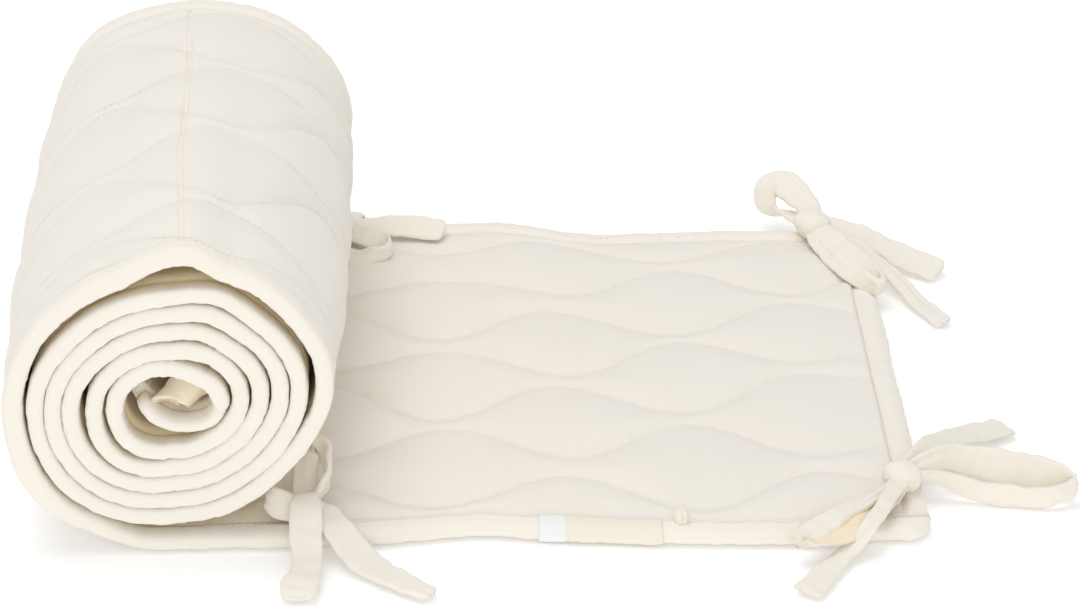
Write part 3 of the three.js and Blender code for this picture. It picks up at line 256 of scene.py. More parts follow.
# Lengths of the waves of unevenness, in millimetres.
WAVES = {
    "puff": (47, 83, 139),
    "crease": (7.1, 9.4, 13.7),
    "soft": (23, 37, 61),
    "roll": (70, 110, 190),
    "wound": (31, 57),
    "fold": (9.3, 14.1, 23.7, 39.0),
    "broad": (57.0, 91.0, 143.0),
    "fine": (3.9, 5.3, 7.7),
    "notch": (8.7, 12.9, 31.0),
    "end_fold": (9.9, 15.3, 27.1),
    "end_broad": (63.0, 97.0),
    "strap_plump": (7.0, 12.0),
    "strap_edge": (9.0, 17.0, 29.0),
    "strap_loose": (11.0, 19.0, 31.0),
    "label": (9.0, 15.0),
}

LABEL = {"from": 157.5, "to": 211.5, "patch": 11.7, "lift": 0.12, "thick": 0.4, "wide": 19.0}
BUTTON_PROFILE = {
    "out": [0.0, 0.82, 1.0, 0.97, 0.8, 0.5, 0.2, 0.0],
    "up": [0.0, 0.0, 0.28, 0.55, 0.84, 1.0, 1.03, 1.03],
}
BUTTON = {"at": (220.6, -141.2, 8.1), "radius": 3.5, "deep": 4.1, "rise": 5.6, "slit": 1.6}

# Stitches: their share of the pitch, how uneven they are, the sides and rings of one, how far the edge seams
# lie from the panel's edge, and the angles of the outer turn that they show at.
STITCH = {"share": 0.78, "uneven": 0.2, "sides": 6, "rings": 4}
EDGE_SEAM = 3.4
STITCHED_TURN = (30, 300)

# Tones: the darker one of each cloth as a share of its colour, and how strong its relief is.
DARKER_TONE = {
    "panel": (0.961, 0.953, 0.942),
    "binding": (0.967, 0.96, 0.943),
    "tie": (0.962, 0.948, 0.93),
    "label": (0.978, 0.971, 0.962),
    "button": (0.956, 0.942, 0.923),
    "thread": (0.933, 0.924, 0.903),
}
CLOTH_RELIEF = {"panel": 0.5, "binding": 0.45, "tie": 0.45, "label": 0.3, "button": 0.45}
RELIEF_HEIGHT = {"cloth": 0.00022, "thread": 0.0001}
LABEL_WEAVE = 0.6
NOISE_SCALE = {"yarn": 160.0, "clouds": 14.0, "specks": 900.0, "crumple": 75.0, "fuzz": 2400.0, "floor": 3.0}

# The stage, in metres and watts.
FLOOR = {"reach": 6.0, "below": 0.0003, "dark": (0.93, 0.93, 0.93), "light": (0.95, 0.95, 0.95), "glow": 0.16}
ROOM = {"colour": (0.985, 0.992, 1.0), "strength": 0.66}
LIGHTS = {
    "Front light": {
        "at": (0.3, -2.4, 1.6), "aim": (0.12, 0, 0.05), "size": 1.6, "watts": 5.0,
        "colour": (1.0, 0.99, 0.97)},
    "Low front light": {
        "at": (0.1, -2.1, 0.4), "aim": (0.1, 0, 0.06), "size": 1.5, "watts": 8.6,
        "colour": (1.0, 0.985, 0.96)},
    "Top light": {
        "at": (-0.3, 0.2, 2.4), "aim": (0.1, 0, 0.0), "size": 1.8, "watts": 19.8,
        "colour": (0.985, 0.99, 1.0)},
}
CAMERA = {"at": (126.8, -1471.3, 793.2), "turn": (63.0, 0.0, -1.3945), "lens": 118.35, "sensor": 36.0}


def distance_setting(name, text, default):
    return bpy.props.FloatProperty(
        name=name, description=text, default=default, subtype="DISTANCE", unit="LENGTH")


def colour_setting(name, text, default):
    return bpy.props.FloatVectorProperty(
        name=name, description=text, default=default, subtype="COLOR", min=0.0, max=1.0)


class BumperSettings(bpy.types.PropertyGroup):
    """Sizes and colours of the cloth."""

    shown_step: distance_setting("Shown step", "Step along the part of the pad that shows", 0.002)
    wound_step: bpy.props.FloatProperty(
        name="Wound step", description="Step round the inner turns", default=math.radians(4.5),
        subtype="ANGLE", unit="ROTATION")
    cell_steps: bpy.props.IntProperty(
        name="Steps in a cell", description="Steps across each quilted cell", default=12)
    pucker: distance_setting("Pucker", "Height of the puckers along the seams", 0.00042)
    stitch_pitch: distance_setting("Stitch pitch", "Distance between stitches", 0.003)
    thread_width: distance_setting("Thread width", "Width of the sewing thread", 0.00045)
    weave_pitch: distance_setting("Weave pitch", "Distance between two threads of the cloth", 0.0007)
    panel_colour: colour_setting("Panel", "Colour of the quilted cotton", (0.895, 0.85, 0.775))
    binding_colour: colour_setting("Binding", "Colour of the binding", (0.915, 0.865, 0.785))
    tie_colour: colour_setting("Ties", "Colour of the ties", (0.915, 0.87, 0.785))
    label_colour: colour_setting("Label", "Colour of the blank label", (0.875, 0.82, 0.70))
    patch_colour: colour_setting("Label patch", "Colour of the paler end of the label", (0.86, 0.87, 0.86))
    button_colour: colour_setting("Button", "Colour of the button's cloth", (0.91, 0.86, 0.775))
    thread_colour: colour_setting("Thread", "Colour of the sewing thread", (0.90, 0.855, 0.775))
    # Painted shade: the warm colour that the cloth is blended to deep between the turns, in the core and
    # inside loops.
    painted_shade_colour: colour_setting(
        "Inside", "Warm colour of the cloth deep between the turns", (0.90, 0.765, 0.52))


# Curves and tables

def smooth_table(table, key, column, at):
    """Reads one column along another, through a smooth curve."""
    xs = np.asarray(table[key][: len(table[column])], float)
    ys = np.asarray(table[column], float)
    return hermite(xs, ys, at)


def hermite(xs, ys, at, first_slope=None):
    """Cubic curve through points: slopes from the neighbours, ends held."""
    slopes = np.gradient(ys, xs)
    slopes[1:-1] = (ys[2:] - ys[:-2]) / (xs[2:] - xs[:-2])
    if first_slope is not None:
        slopes[0] = first_slope
    at = np.clip(np.asarray(at, float), xs[0], xs[-1])
    i = np.clip(np.searchsorted(xs, at, side="right") - 1, 0, len(xs) - 2)
    span = xs[i + 1] - xs[i]
    t = (at - xs[i]) / span
    t2 = t * t
    t3 = t2 * t
    return ((2 * t3 - 3 * t2 + 1) * ys[i] + (t3 - 2 * t2 + t) * span * slopes[i]
            + (3 * t2 - 2 * t3) * ys[i + 1] + (t3 - t2) * span * slopes[i + 1])


def wobble(a, b, waves, seed):
    """Smooth unevenness of about unit height: a named set of waves along a and b."""
    rng = np.random.RandomState(seed)
    total = 0.0
    for length in WAVES[waves]:
        tilt = rng.uniform(-0.6, 0.6)
        phase = rng.uniform(0, 2 * math.pi)
        total = total + np.sin(2 * math.pi * (a + tilt * b) / length + phase) * rng.uniform(0.6, 1.0)
    return total / math.sqrt(len(WAVES[waves]))


def smoothstep(low, high, value):
    t = np.clip((value - low) / (high - low), 0, 1)
    return t * t * (3 - 2 * t)


def spread(*parts):
    """Arrays brought to one shape and stacked on a new last axis."""
    return np.stack(np.broadcast_arrays(*parts), -1)


# The pad's path: flat, then wound, then across the core

FLAT_ANGLE = math.degrees(math.atan(FLAT_SPOT / FIRST_RADIUS))
INNER_NAMES = [name for name in INNER_TURNS if name != "angle"]
LAST_ANGLE = len(INNER_NAMES) * 360 + 270


def radius_table():
    start = FIRST_RADIUS / math.cos(math.radians(FLAT_ANGLE))
    angles = [FLAT_ANGLE] + OUTER_TURN["angle"]
    radii = [start] + OUTER_TURN["near"]
    for turn, name in enumerate(INNER_NAMES):
        column = INNER_TURNS[name]
        angles += [(turn + 1) * 360 + a for a in INNER_TURNS["angle"][: len(column)]]
        radii += column
    slope = math.radians(start * math.tan(math.radians(FLAT_ANGLE)))
    return np.asarray(angles, float), np.asarray(radii, float), slope


RADIUS_ANGLES, RADII, FIRST_SLOPE = radius_table()


def dent_at(angle):
    share = np.clip(1 - np.maximum(angle - 360, 0) / (360 * DENT_DEPTH), 0, 1)
    around = np.mod(angle, 360)
    far = smooth_table(OUTER_TURN, "angle", "far", around)
    return (far - smooth_table(OUTER_TURN, "angle", "near", around)) * share


def lay_flat(x, y, z):
    """Places a point of the straight pad on the floor, with its edges' drift."""
    u = y / HALF_WIDTH
    side = (u + 1) / 2
    near = smooth_table(EDGE_DRIFT, "x", "near", x)
    far = smooth_table(EDGE_DRIFT, "x", "far", x)
    drift = near + (far - near) * side
    shift = TAPER["shift"] * u * (1 - x / FLAT_REACH)
    return spread(x + shift, y + drift, z * (1 - TAPER["lower"] * u))


def wind(x, y, z):
    """Places a point of the roll, wider at its far end and taller at its near end."""
    u = y / HALF_WIDTH
    return spread(x * (1 + TAPER["wider"] * u) + TAPER["shift"] * u, y, z * (1 - TAPER["lower"] * u))


class Path:
    """Stations along the pad. Each is flat, on the roll or in the core."""

    def __init__(self):
        self.kind = []
        self.place = []
        self.angle = []
        self.half = []

    def add(self, kind, x, z, angle, half):
        self.kind.append(kind)
        self.place.append((x, z))
        self.angle.append(angle)
        self.half.append(half)

    def add_flat(self, start, end, step):
        count = max(round((start - end) / step), 1)
        for i in range(count):
            self.add("flat", start + (end - start) * i / count, FLAT_HALF, 0.0, FLAT_HALF)

    def add_roll(self, start, end, step, half):
        count = round((end - start) / step)
        for i in range(count + 1):
            angle = start + (end - start) * i / count
            self.add("roll", 0.0, 0.0, angle, half(angle))

    def add_core(self, step):
        angles = np.array([LAST_ANGLE - CORE_LEAD, LAST_ANGLE])
        radii = hermite(RADIUS_ANGLES, RADII, angles)
        turn = np.radians(angles)
        x = np.concatenate([-radii * np.sin(turn), CORE_END["x"]])
        z = np.concatenate([AXIS_HEIGHT - radii * np.cos(turn), CORE_END["z"]])
        t = np.concatenate([[0], np.cumsum(np.hypot(np.diff(x), np.diff(z)))])
        for at in np.arange(t[1] + step, t[-1] + 0.01, step):
            self.add("core", float(hermite(t, x, at)), float(hermite(t, z, at)), 0.0, ROLLED_HALF)

    def ready(self):
        self.kind = np.array(self.kind)
        self.place = np.array(self.place)
        self.angle = np.array(self.angle)
        self.half = np.array(self.half)
        middle = self.middle(np.zeros((len(self.kind), 1)))[:, 0]
        steps = np.hypot(*np.diff(middle, axis=0).T)
        self.along = np.concatenate([[0], np.cumsum(steps)]) - middle[0, 0]
        return self

    def middle(self, u):
        """The middle of the pad in the plane of its path, for each station and place across."""
        rolled = self.kind == "roll"
        angle = self.angle[:, None]
        near = hermite(RADIUS_ANGLES, RADII, angle, FIRST_SLOPE)
        radius = near + dent_at(angle) * (u + 1) / 2
        turn = np.radians(angle)
        x = np.where(rolled[:, None], -radius * np.sin(turn), self.place[:, :1])
        z = np.where(rolled[:, None], AXIS_HEIGHT - radius * np.cos(turn), self.place[:, 1:])
        return np.stack([x, z], -1)

    def points(self, across, offset):
        """Points at places across the pad, offset towards its underside or outer face."""
        middle = self.middle(across / HALF_WIDTH)
        slope = np.gradient(middle, axis=0)
        slope /= np.linalg.norm(slope, axis=-1, keepdims=True)
        x = middle[..., 0] - slope[..., 1] * offset
        z = middle[..., 1] + slope[..., 0] * offset
        flat = (self.kind == "flat")[:, None, None]
        return np.where(flat, lay_flat(x, across, z), wind(x, across, z))


def outer_half(angle):
    return FLAT_HALF + (ROLLED_HALF - FLAT_HALF) * min(max((angle - 180) / 180, 0), 1)


def shown_path(settings):
    step = settings.shown_step / MM
    turn = step * TURN_STEP["panel"]
    start, end, fine = FOLD_STEPS["from"], FOLD_STEPS["to"], FOLD_STEPS["step"]
    path = Path()
    path.add_flat(PANEL_END_X, -FLAT_SPOT, step)
    path.add_roll(FLAT_ANGLE, start, turn, outer_half)
    path.add_roll(start + fine, end, fine, outer_half)
    path.add_roll(end + turn, SHOWN_END, turn, outer_half)
    return path.ready()


def wound_path(settings):
    path = Path()
    path.add_roll(360, LAST_ANGLE, math.degrees(settings.wound_step), lambda angle: ROLLED_HALF)
    path.add_core(CORE_STEP["panel"])
    return path.ready()


# Meshes

def link(name, data):
    """Puts an object with this data into the scene."""
    obj = bpy.data.objects.new(name, data)
    bpy.context.scene.collection.objects.link(obj)
    return obj


class Mesh:
    """Collects points in millimetres, faces, cloth coordinates and painted shade, and makes one object of
    them.
    """

    def __init__(self):
        self.points = []
        self.faces = []
        self.cloth = []
        self.shade = []

    def grid(self, points, cloth, shade=0.0, turned=False, around=False):
        """A sheet of points in rows. Returns their numbers."""
        rows, columns = points.shape[:2]
        ids = len(self.points) + np.arange(rows * columns).reshape(rows, columns)
        self.points.extend(points.reshape(-1, 3).tolist())
        self.cloth.extend(cloth.reshape(-1, 2).tolist())
        self.shade.extend(np.broadcast_to(shade, (rows, columns)).ravel().tolist())
        right = np.roll(ids, -1, axis=1) if around else ids[:, 1:]
        left = ids if around else ids[:, :-1]
        quads = np.stack([left[:-1], right[:-1], right[1:], left[1:]], -1).reshape(-1, 4)
        self.faces.extend((quads[:, ::-1] if turned else quads).tolist())
        return ids

    def strip(self, edge_a, edge_b):
        """Joins two rows of equal length."""
        quads = np.stack([edge_a[:-1], edge_b[:-1], edge_b[1:], edge_a[1:]], -1)
        self.faces.extend(quads.tolist())

    def tube(self, points, cloth, shade=0.0):
        """Rings joined in order and closed at both ends."""
        ids = self.grid(points, cloth, shade, around=True)
        self.faces.append(ids[0][::-1].tolist())
        self.faces.append(ids[-1].tolist())

    def build(self, name, material, nodes=()):
        mesh = bpy.data.meshes.new(name)
        mesh.from_pydata((np.asarray(self.points) * MM).tolist(), [], self.faces)
        mesh.update()
        layer = mesh.uv_layers.new(name="Cloth")
        corners = np.empty(len(mesh.loops), np.int32)
        mesh.loops.foreach_get("vertex_index", corners)
        layer.data.foreach_set("uv", (np.asarray(self.cloth)[corners] * MM).ravel())
        shade = mesh.attributes.new("Shade", "FLOAT", "POINT")
        shade.data.foreach_set("value", self.shade)
        mesh.polygons.foreach_set("use_smooth", [True] * len(mesh.polygons))
        mesh.materials.append(material)
        obj = link(name, mesh)
        face_out(obj)
        return fasten(obj, nodes)


def face_out(obj):
    """Turns every loose part of a mesh so that its faces look outward."""
    shape = bmesh.new()
    shape.from_mesh(obj.data)
    bmesh.ops.recalc_face_normals(shape, faces=shape.faces)
    if shape.calc_volume(signed=True) < 0:
        bmesh.ops.reverse_faces(shape, faces=shape.faces)
    shape.to_mesh(obj.data)
    shape.free()


def fasten(obj, nodes=()):
    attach(obj, BODY)
    if nodes:
        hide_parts(*nodes)
    return obj


# Quilting

def seam_lines(along):
    """Where each seam lies across the pad: between its turns it swings like a cosine."""
    turns = np.asarray(SEAM_TURNS, float)
    k = np.clip(np.searchsorted(turns, along, side="right") - 1, 0, len(turns) - 2)
    t = np.clip((along - turns[k]) / (turns[k + 1] - turns[k]), 0, 1)
    share = 0.5 - 0.5 * np.cos(math.pi * t)
    lines = [np.full_like(along, -PANEL_EDGE)]
    for seam in np.asarray(SEAMS):
        lines.append(seam[k] * (1 - share) + seam[k + 1] * share)
    lines.append(np.full_like(along, PANEL_EDGE))
    return np.stack(lines, -1)


def quilted_face(along, steps, pucker, seed, crown_power):
    """Places across the pad for each station, and how far the cloth stands above the plain face."""
    lines = seam_lines(along)
    t = np.arange(steps) / steps
    v = 0.5 * t + 0.25 * (1 - np.cos(math.pi * t))
    across = []
    rise = []
    for cell in range(lines.shape[1] - 1):
        width = (lines[:, cell + 1] - lines[:, cell])[:, None]
        place = v[None] if cell + 2 < lines.shape[1] else np.append(v, 1.0)[None]
        across.append(lines[:, cell:cell + 1] + width * place)
        puff = PUFF_RISE * (1 - np.exp(-width / PUFF_WIDTH))
        puff = puff * (1 + 0.12 * wobble(along[:, None], 0 * place + 31 * cell, "puff", seed + cell))
        near_seam = np.minimum(place, 1 - place) * width
        crease = wobble(along[:, None], across[-1], "crease", seed + 20 + cell)
        crease = crease * np.exp(-near_seam / 6.0) * (1 - np.exp(-near_seam / 1.2))
        soft = wobble(across[-1], along[:, None], "soft", seed + 40 + cell) * 0.3
        crown = np.sin(math.pi * np.clip(place, 0, 1)) ** crown_power
        rise.append(puff * crown - SEAM_SINK + pucker * crease + soft * crown)
    return np.concatenate(across, 1), np.concatenate(rise, 1)


def belly_at(angle, across):
    """How far the face of the outer turn bulges between the bindings."""
    return BELLY * (1 - smoothstep(266, 366, angle)) * (1 - (across / PANEL_EDGE) ** 2)


def swell_at(angle):
    rise = np.exp(-((angle - SWELL["angle"]) / SWELL["reach"]) ** 2)
    return SWELL["rise"] * rise * smoothstep(12, 34, angle)


def fold_at(along, across):
    """The fold line along the top of the roll between two low ridges: how deep it is and its painted shade.
    """
    line = FOLD["along"] + FOLD["slant"] * across + 0.7 * np.sin(across / 29.0)
    off = (along - line) / FOLD["reach"]
    groove = np.exp(-off ** 2)
    deep = FOLD["deep"] * groove - FOLD["ridge"] * np.exp(-((np.abs(off) - 3.2) / 2.0) ** 2)
    return deep * (1 - 0.25 * np.sin(across / 23.0) ** 2), FOLD["shade"] * groove


def build_quilt(settings, material):
    """The part that shows: the flat pad and the outer turn, raised on its top and outer faces."""
    path = shown_path(settings)
    pucker = settings.pucker / MM
    across, rise = quilted_face(path.along, settings.cell_steps, pucker, 3, 0.7)
    under_across, under_rise = quilted_face(path.along, settings.cell_steps, pucker, 5, 0.95)
    along = path.along[:, None]
    angle = path.angle[:, None]
    half = path.half[:, None]
    flat = (path.kind == "flat")[:, None]
    end_fade = 1 - np.exp(-(PANEL_END_X + 1 + along) / 7.0)
    into_roll = np.where(flat, smoothstep(-6, 30, path.place[:, :1]), 0.0)
    top = rise * end_fade * into_roll
    shows = np.where(flat, 0.0, smoothstep(FLAT_ANGLE, 32, angle))
    quilted = ROLL_RELIEF * under_rise * shows + belly_at(angle, across) * shows
    outer = np.where(flat, np.minimum(under_rise * 0.12, 0.0), quilted)
    outer = outer + 0.5 * shows * wobble(along, across, "roll", 9)
    fold, fold_shade = fold_at(along, under_across)
    outer = outer + np.where(flat, 0.0, swell_at(angle) - fold)
    cloth = spread(along, across)
    # Painted shade: the flat beside the roll and the outer turn's inner face past 60 degrees are blended to
    # the shade colour, and the fold's groove slightly.
    shade_beside_roll = np.where(flat, 0.5 * smoothstep(72, 30, path.place[:, :1]), 0.5)
    painted_shade = np.maximum(shade_beside_roll, 0.9 * smoothstep(60, 120, angle))
    mesh = Mesh()
    tops = mesh.grid(path.points(across, -(half + top)), cloth, painted_shade)
    unders = mesh.grid(path.points(under_across, half + outer), cloth, fold_shade, turned=True)
    close_strip(mesh, tops, unders)
    shown = mesh.build("quilt_shown", material, ["quilted_panel"])


def build_wound(settings, material):
    """The inner turns and the core, with plain faces."""
    path = wound_path(settings)
    along = path.along[:, None]
    half = path.half[:, None]
    across = np.linspace(-PANEL_EDGE, PANEL_EDGE, WOUND_COLUMNS)[None] + 0 * along
    cloth = spread(along, across)
    soft = 0.12 * wobble(along, across, "wound", 17)
    # Painted shade on the inner turns and the core: 0.85 of the shade colour on the turns and every
    # underside, 0.45 on the core's tops.
    painted_shade = np.where(path.kind == "roll", 0.85, 0.45)[:, None]
    mesh = Mesh()
    tops = mesh.grid(path.points(across, -(half + soft)), cloth, painted_shade)
    unders = mesh.grid(path.points(across, half - 0.1 + soft), cloth, 0.85, turned=True)
    close_strip(mesh, tops, unders)
    wound = mesh.build("quilt_wound", material, ["quilted_panel"])


def close_strip(mesh, tops, unders):
    mesh.strip(tops[:, 0], unders[:, 0])
    mesh.strip(unders[:, -1], tops[:, -1])
    mesh.strip(unders[0], tops[0])
    mesh.strip(tops[-1], unders[-1])


# Binding

def binding_section(squareness):
    """Reach out from the sewn seam and height, from the top seam round the nose to the lower seam."""
    top = np.sin(np.linspace(0, math.pi / 2, 17))
    soft = (1 - top ** 4) ** 0.42
    square = (1 - top ** 12) ** 0.3
    height = (soft + (square - soft) * squareness) * (0.56 + 0.44 * smoothstep(0, 0.33, top))
    reach = np.concatenate([top, top[-2::-1]])
    return reach, np.concatenate([height, -height[..., -2::-1]], -1)


def binding_half(angle):
    if angle > 360:
        return BINDING_HALF["wound"]
    share = min(max((angle - 180) / 180, 0), 1)
    return BINDING_HALF["flat"] + (BINDING_HALF["turned"] - BINDING_HALF["flat"]) * share


def long_binding(side, settings):
    """Rows of points round a long binding, from the flat end's corner to the core."""
    path = Path()
    corner = 9
    for i in range(corner):
        share = math.cos(math.pi / 2 * i / corner)
        path.add("flat", PANEL_END_X + (BINDING_WIDTH - 0.2) * share, FLAT_HALF, 0.0, FLAT_HALF)
    step = settings.shown_step / MM
    turn = math.degrees(settings.wound_step)
    path.add_flat(PANEL_END_X, -FLAT_SPOT, step)
    path.add_roll(FLAT_ANGLE, 360, step * TURN_STEP["binding"], binding_half)
    path.add_roll(360 + turn, LAST_ANGLE, turn * INNER_BINDING_STEP, binding_half)
    path.add_core(CORE_STEP["binding"])
    path.ready()
    round_off = np.ones(len(path.kind))
    round_off[:corner] = np.sin(np.pi / 2 * (np.arange(corner) + 0.35) / corner)
    round_off[-3:] = [0.96, 0.86, 0.6]
    along = path.along[:, None]
    angle = path.angle[:, None]
    reach, height = binding_section(smoothstep(20, 70, angle))
    around = np.linspace(0, 26, len(reach))[None]
    flat = (path.kind == "flat")[:, None]
    fold = wobble(along, around * 1.5, "fold", 61 + side)
    broad = wobble(along, around * 0.5, "broad", 67 + side)
    fine = wobble(along, around * 0.6, "fine", 79 + side)
    notch = smoothstep(1.15, 1.6, wobble(along, 0 * around, "notch", 73 + side))
    bulge = (0.26 * fold + 0.22 * broad) * np.where(flat, 1.0, 0.55)
    bulge = bulge + np.where(flat, 0.08, 0.15) * fine - np.where(flat, 0.0, 0.7) * notch
    thin = 0.35 + 0.65 * round_off[:, None]
    up = (path.half[:, None] + bulge) * height
    up = up * np.where(flat & (height < 0), 1.0, thin)
    low = (height < 0) & ~flat & (angle < 360)
    up = up - np.where(low, swell_at(angle) * np.abs(height) ** 0.5, 0.0)
    nose = (BINDING_WIDTH + SEAM_LAP) * reach[None]
    nose = nose + (0.5 * broad + 0.35 * fold + 0.15 * fine) * reach[None] ** 3
    across = side * (PANEL_EDGE - SEAM_LAP + nose * round_off[:, None])
    points = path.points(across, -up)
    points[..., 2] = np.maximum(points[..., 2], 0.05)
    cloth = spread(along, around)
    # Painted shade: the binding's faces that lie deep between the turns are blended to the shade colour.
    covered = np.where(height > 0, smoothstep(40, 90, angle), smoothstep(355, 362, angle))
    hidden = np.where(flat, 0.0, covered)
    shade = 0.85 * hidden * smoothstep(0.82, 0.4, reach)[None]
    return path, points, cloth, shade


def build_long_binding(name, side, settings, material):
    points, cloth, shade = long_binding(side, settings)[1:]
    mesh = Mesh()
    mesh.tube(points, cloth, shade)
    obj = mesh.build(name, material, ["binding_near" if side < 0 else "binding_far"])


def build_end_binding(name, node, material, core):
    reach, height = binding_section(0.6 * core)
    y = np.linspace(-PANEL_EDGE + SEWN_GAP, PANEL_EDGE - SEWN_GAP, 139)[:, None]
    around = np.linspace(0, 26, len(reach))[None]
    fold = wobble(y, around * 1.5, "end_fold", 81 + core)
    broad = wobble(y, around * 0.5, "end_broad", 83 + core)
    out = (BINDING_WIDTH + SEAM_LAP) * reach[None] - SEAM_LAP
    out = out + (0.4 * broad + 0.3 * fold) * reach[None] ** 3
    if core:
        tip = np.array([CORE_END["x"][-1], CORE_END["z"][-1]])
        way = tip - np.array([CORE_END["x"][-2], CORE_END["z"][-2]])
        way = way / np.linalg.norm(way)
        up = (ROLLED_HALF + 0.15 * fold) * height[None]
        past = out - BINDING_WIDTH + 4.0
        x = tip[0] + way[0] * past - way[1] * up
        points = wind(x, y, tip[1] + way[1] * past + way[0] * up)
    else:
        up = (BINDING_HALF["flat"] + 0.25 * fold + 0.2 * broad) * height[None]
        points = lay_flat(PANEL_END_X + out, y, np.maximum(FLAT_HALF + up, 0.05))
    cloth = spread(y, around)
    mesh = Mesh()
    mesh.tube(points, cloth)
    obj = mesh.build(name, material, [node])


# Ties

def whole_rows(rows):
    whole = [rows[0]]
    for row in rows[1:]:
        whole.append((*row, *whole[-1][len(row):]))
    return np.asarray(whole, float)


def through(rows, step):
    """Points along a smooth curve through a strap's rows, about one step apart."""
    rows = whole_rows(rows)
    gaps = np.linalg.norm(np.diff(rows[:, :3], axis=0), axis=1)
    t = np.concatenate([[0], np.cumsum(np.sqrt(gaps))])
    fine = np.linspace(0, t[-1], 400)
    path = np.stack([hermite(t, rows[:, k], fine) for k in range(3)], -1)
    length = np.concatenate([[0], np.cumsum(np.linalg.norm(np.diff(path, axis=0), axis=1))])
    at = np.interp(np.linspace(0, length[-1], max(int(length[-1] / step), 12)), length, fine)
    return np.stack([hermite(t, rows[:, k], at) for k in range(rows.shape[1])], -1), length[-1]


def steady(values, reach):
    """Rows smoothed over their neighbours, so that a strap turns over gently."""
    wide = np.pad(values, ((reach, reach), (0, 0)), mode="edge")
    kernel = np.hanning(2 * reach + 3)[1:-1]
    kernel /= kernel.sum()
    return np.stack([np.convolve(wide[:, k], kernel, mode="valid") for k in range(values.shape[1])], -1)


def add_strap(mesh, rows, seed, start, inside, outside):
    """A flat sewn tie, plump along its folded edges, with shares of painted shade on each side.

    A strap with no painted shade inside is a tail, and its free end is rounded."""
    line, length = through(rows, TIE_STEP)
    place, wide, thick = line[:, :3], line[:, 3:4], line[:, 4:5]
    along = np.gradient(place, axis=0)
    along /= np.linalg.norm(along, axis=1, keepdims=True)
    across = steady(line[:, 5:8], 5)
    across = across - along * np.sum(across * along, axis=1, keepdims=True)
    across /= np.linalg.norm(across, axis=1, keepdims=True)
    normal = np.cross(along, across)
    count = 15
    a = np.sin(np.linspace(-math.pi / 2, math.pi / 2, count)) * 0.6 + np.linspace(-1, 1, count) * 0.4
    both = np.concatenate([a, a[-2:0:-1]])[None]
    side = np.concatenate([np.ones(count), -np.ones(count - 2)])[None]
    rng = np.random.RandomState(seed)
    far = np.arange(len(line))[:, None] * TIE_STEP
    left = np.ones_like(far) if inside else np.clip((far[-1] - far) / 4.0, 0, 1)
    rounded = np.sqrt(1 - (1 - left) ** 2.4)
    gathered = np.clip((13.5 - wide) / 4.0, 0, 1)
    plump = thick / 2 * np.sqrt(np.clip(1 - np.abs(both) ** 3.2, 0, 1)) * (0.4 + 0.6 * rounded)
    plump = plump * (1 + 0.12 * wobble(far, both * 6, "strap_plump", seed + 3))
    hem = 0.2 * np.exp(-((np.abs(both) - 0.78) / 0.1) ** 2)
    bend = rng.uniform(0.3, 0.8) * (both ** 2 - 0.4) * (1 + 0.5 * np.sin(far / 17 + seed))
    folds = gathered * (0.28 * np.cos(both * 2.3 * math.pi + seed) + 0.18 * np.cos(both * 5.1 + far / 9))
    loose = 0.5 * wobble(far, both * 9, "strap_loose", seed) * (0.4 + 0.6 * both ** 2)
    lift = side * (plump + hem) + bend + folds + loose
    edge = wide / 2 * (1 + 0.05 * wobble(far, 6 * both, "strap_edge", seed + 5)) * (0.5 + 0.5 * rounded)
    points = place[:, None] + across[:, None] * (edge * both)[..., None]
    points = points + normal[:, None] * lift[..., None]
    points[..., 2] = np.maximum(points[..., 2], 0.12 + 0.5 * (side + 1) * 0.9)
    cloth = spread(far + start, (both + side * 1.1) * 9.5)
    # Painted shade: a loop's inner side takes its inside share of the shade colour, everything else the
    # outside share.
    shade = outside
    if inside:
        inward = np.sum(normal * (place.mean(axis=0) - place), axis=1, keepdims=True)
        inward = steady(np.sign(inward), 4)
        shade = outside + (inside - outside) * np.clip(side * inward, 0, 1)
    mesh.tube(points, cloth, shade)
    return length


def add_knot(mesh, knot, seed):
    """A soft knot: two turns of the tie side by side round the gathered middle."""
    rows, columns = 34, 48
    polar = np.linspace(0.02, math.pi - 0.02, rows)[:, None]
    around = np.linspace(0, 2 * math.pi, columns, endpoint=False)[None]
    slant = 2 * polar + 0.5 * np.sin(around + seed) + 0.3
    turns = np.abs(np.sin(slant)) ** 0.5
    fine = np.sin(around * 7 + np.sin(polar * 3 + seed) * 1.3) * np.sin(polar)
    unit = spread(np.cos(polar), np.sin(polar) * np.cos(around), np.sin(polar) * np.sin(around))
    lumps = np.sin(unit[..., 0] * 3.1 + seed) + np.sin(unit[..., 1] * 2.7 + 2 * seed)
    lumps = lumps + np.sin(unit[..., 2] * 3.7)
    swell = 0.88 + 0.1 * turns + 0.015 * fine + 0.03 * lumps
    unit = np.sign(unit) * np.abs(unit) ** 0.9
    points = unit * swell[..., None] * np.asarray(knot["size"]) / 2
    turn = math.radians(knot["turn"])
    cos, sin = math.cos(turn), math.sin(turn)
    spin = np.array([[cos, -sin, 0], [sin, cos, 0], [0, 0, 1]])
    points = points @ spin.T + np.asarray(knot["at"])
    cloth = 8 * spread(around, polar)
    # Painted shade in the valley between the knot's two turns.
    mesh.tube(points, cloth, 0.3 * smoothstep(0.35, 0.0, turns))


def build_ties(material):
    for number, (name, parts) in enumerate(TIES.items()):
        mesh = Mesh()
        length = 0.0
        for k, (part, rows) in enumerate(parts.items()):
            if part == "knot":
                add_knot(mesh, rows, number)
                length += KNOT_WRAP
            else:
                # Shares of painted shade inside a loop and outside the strap.
                inside = PAINTED_LOOP_SHADE.get(part, PAINTED_PLAIN_LOOP_SHADE) if part.startswith("loop") else 0.0
                outside = PAINTED_OUTER_SHADE.get(part, 0.0)
                length += add_strap(mesh, rows, 100 + 10 * number + k, 40 * k, inside, outside)
        obj = mesh.build(name + "_cloth", material, [name])
        rests = ["quilt_wound"] if name == "tie_core" else ["quilt_shown"]


# Label and button

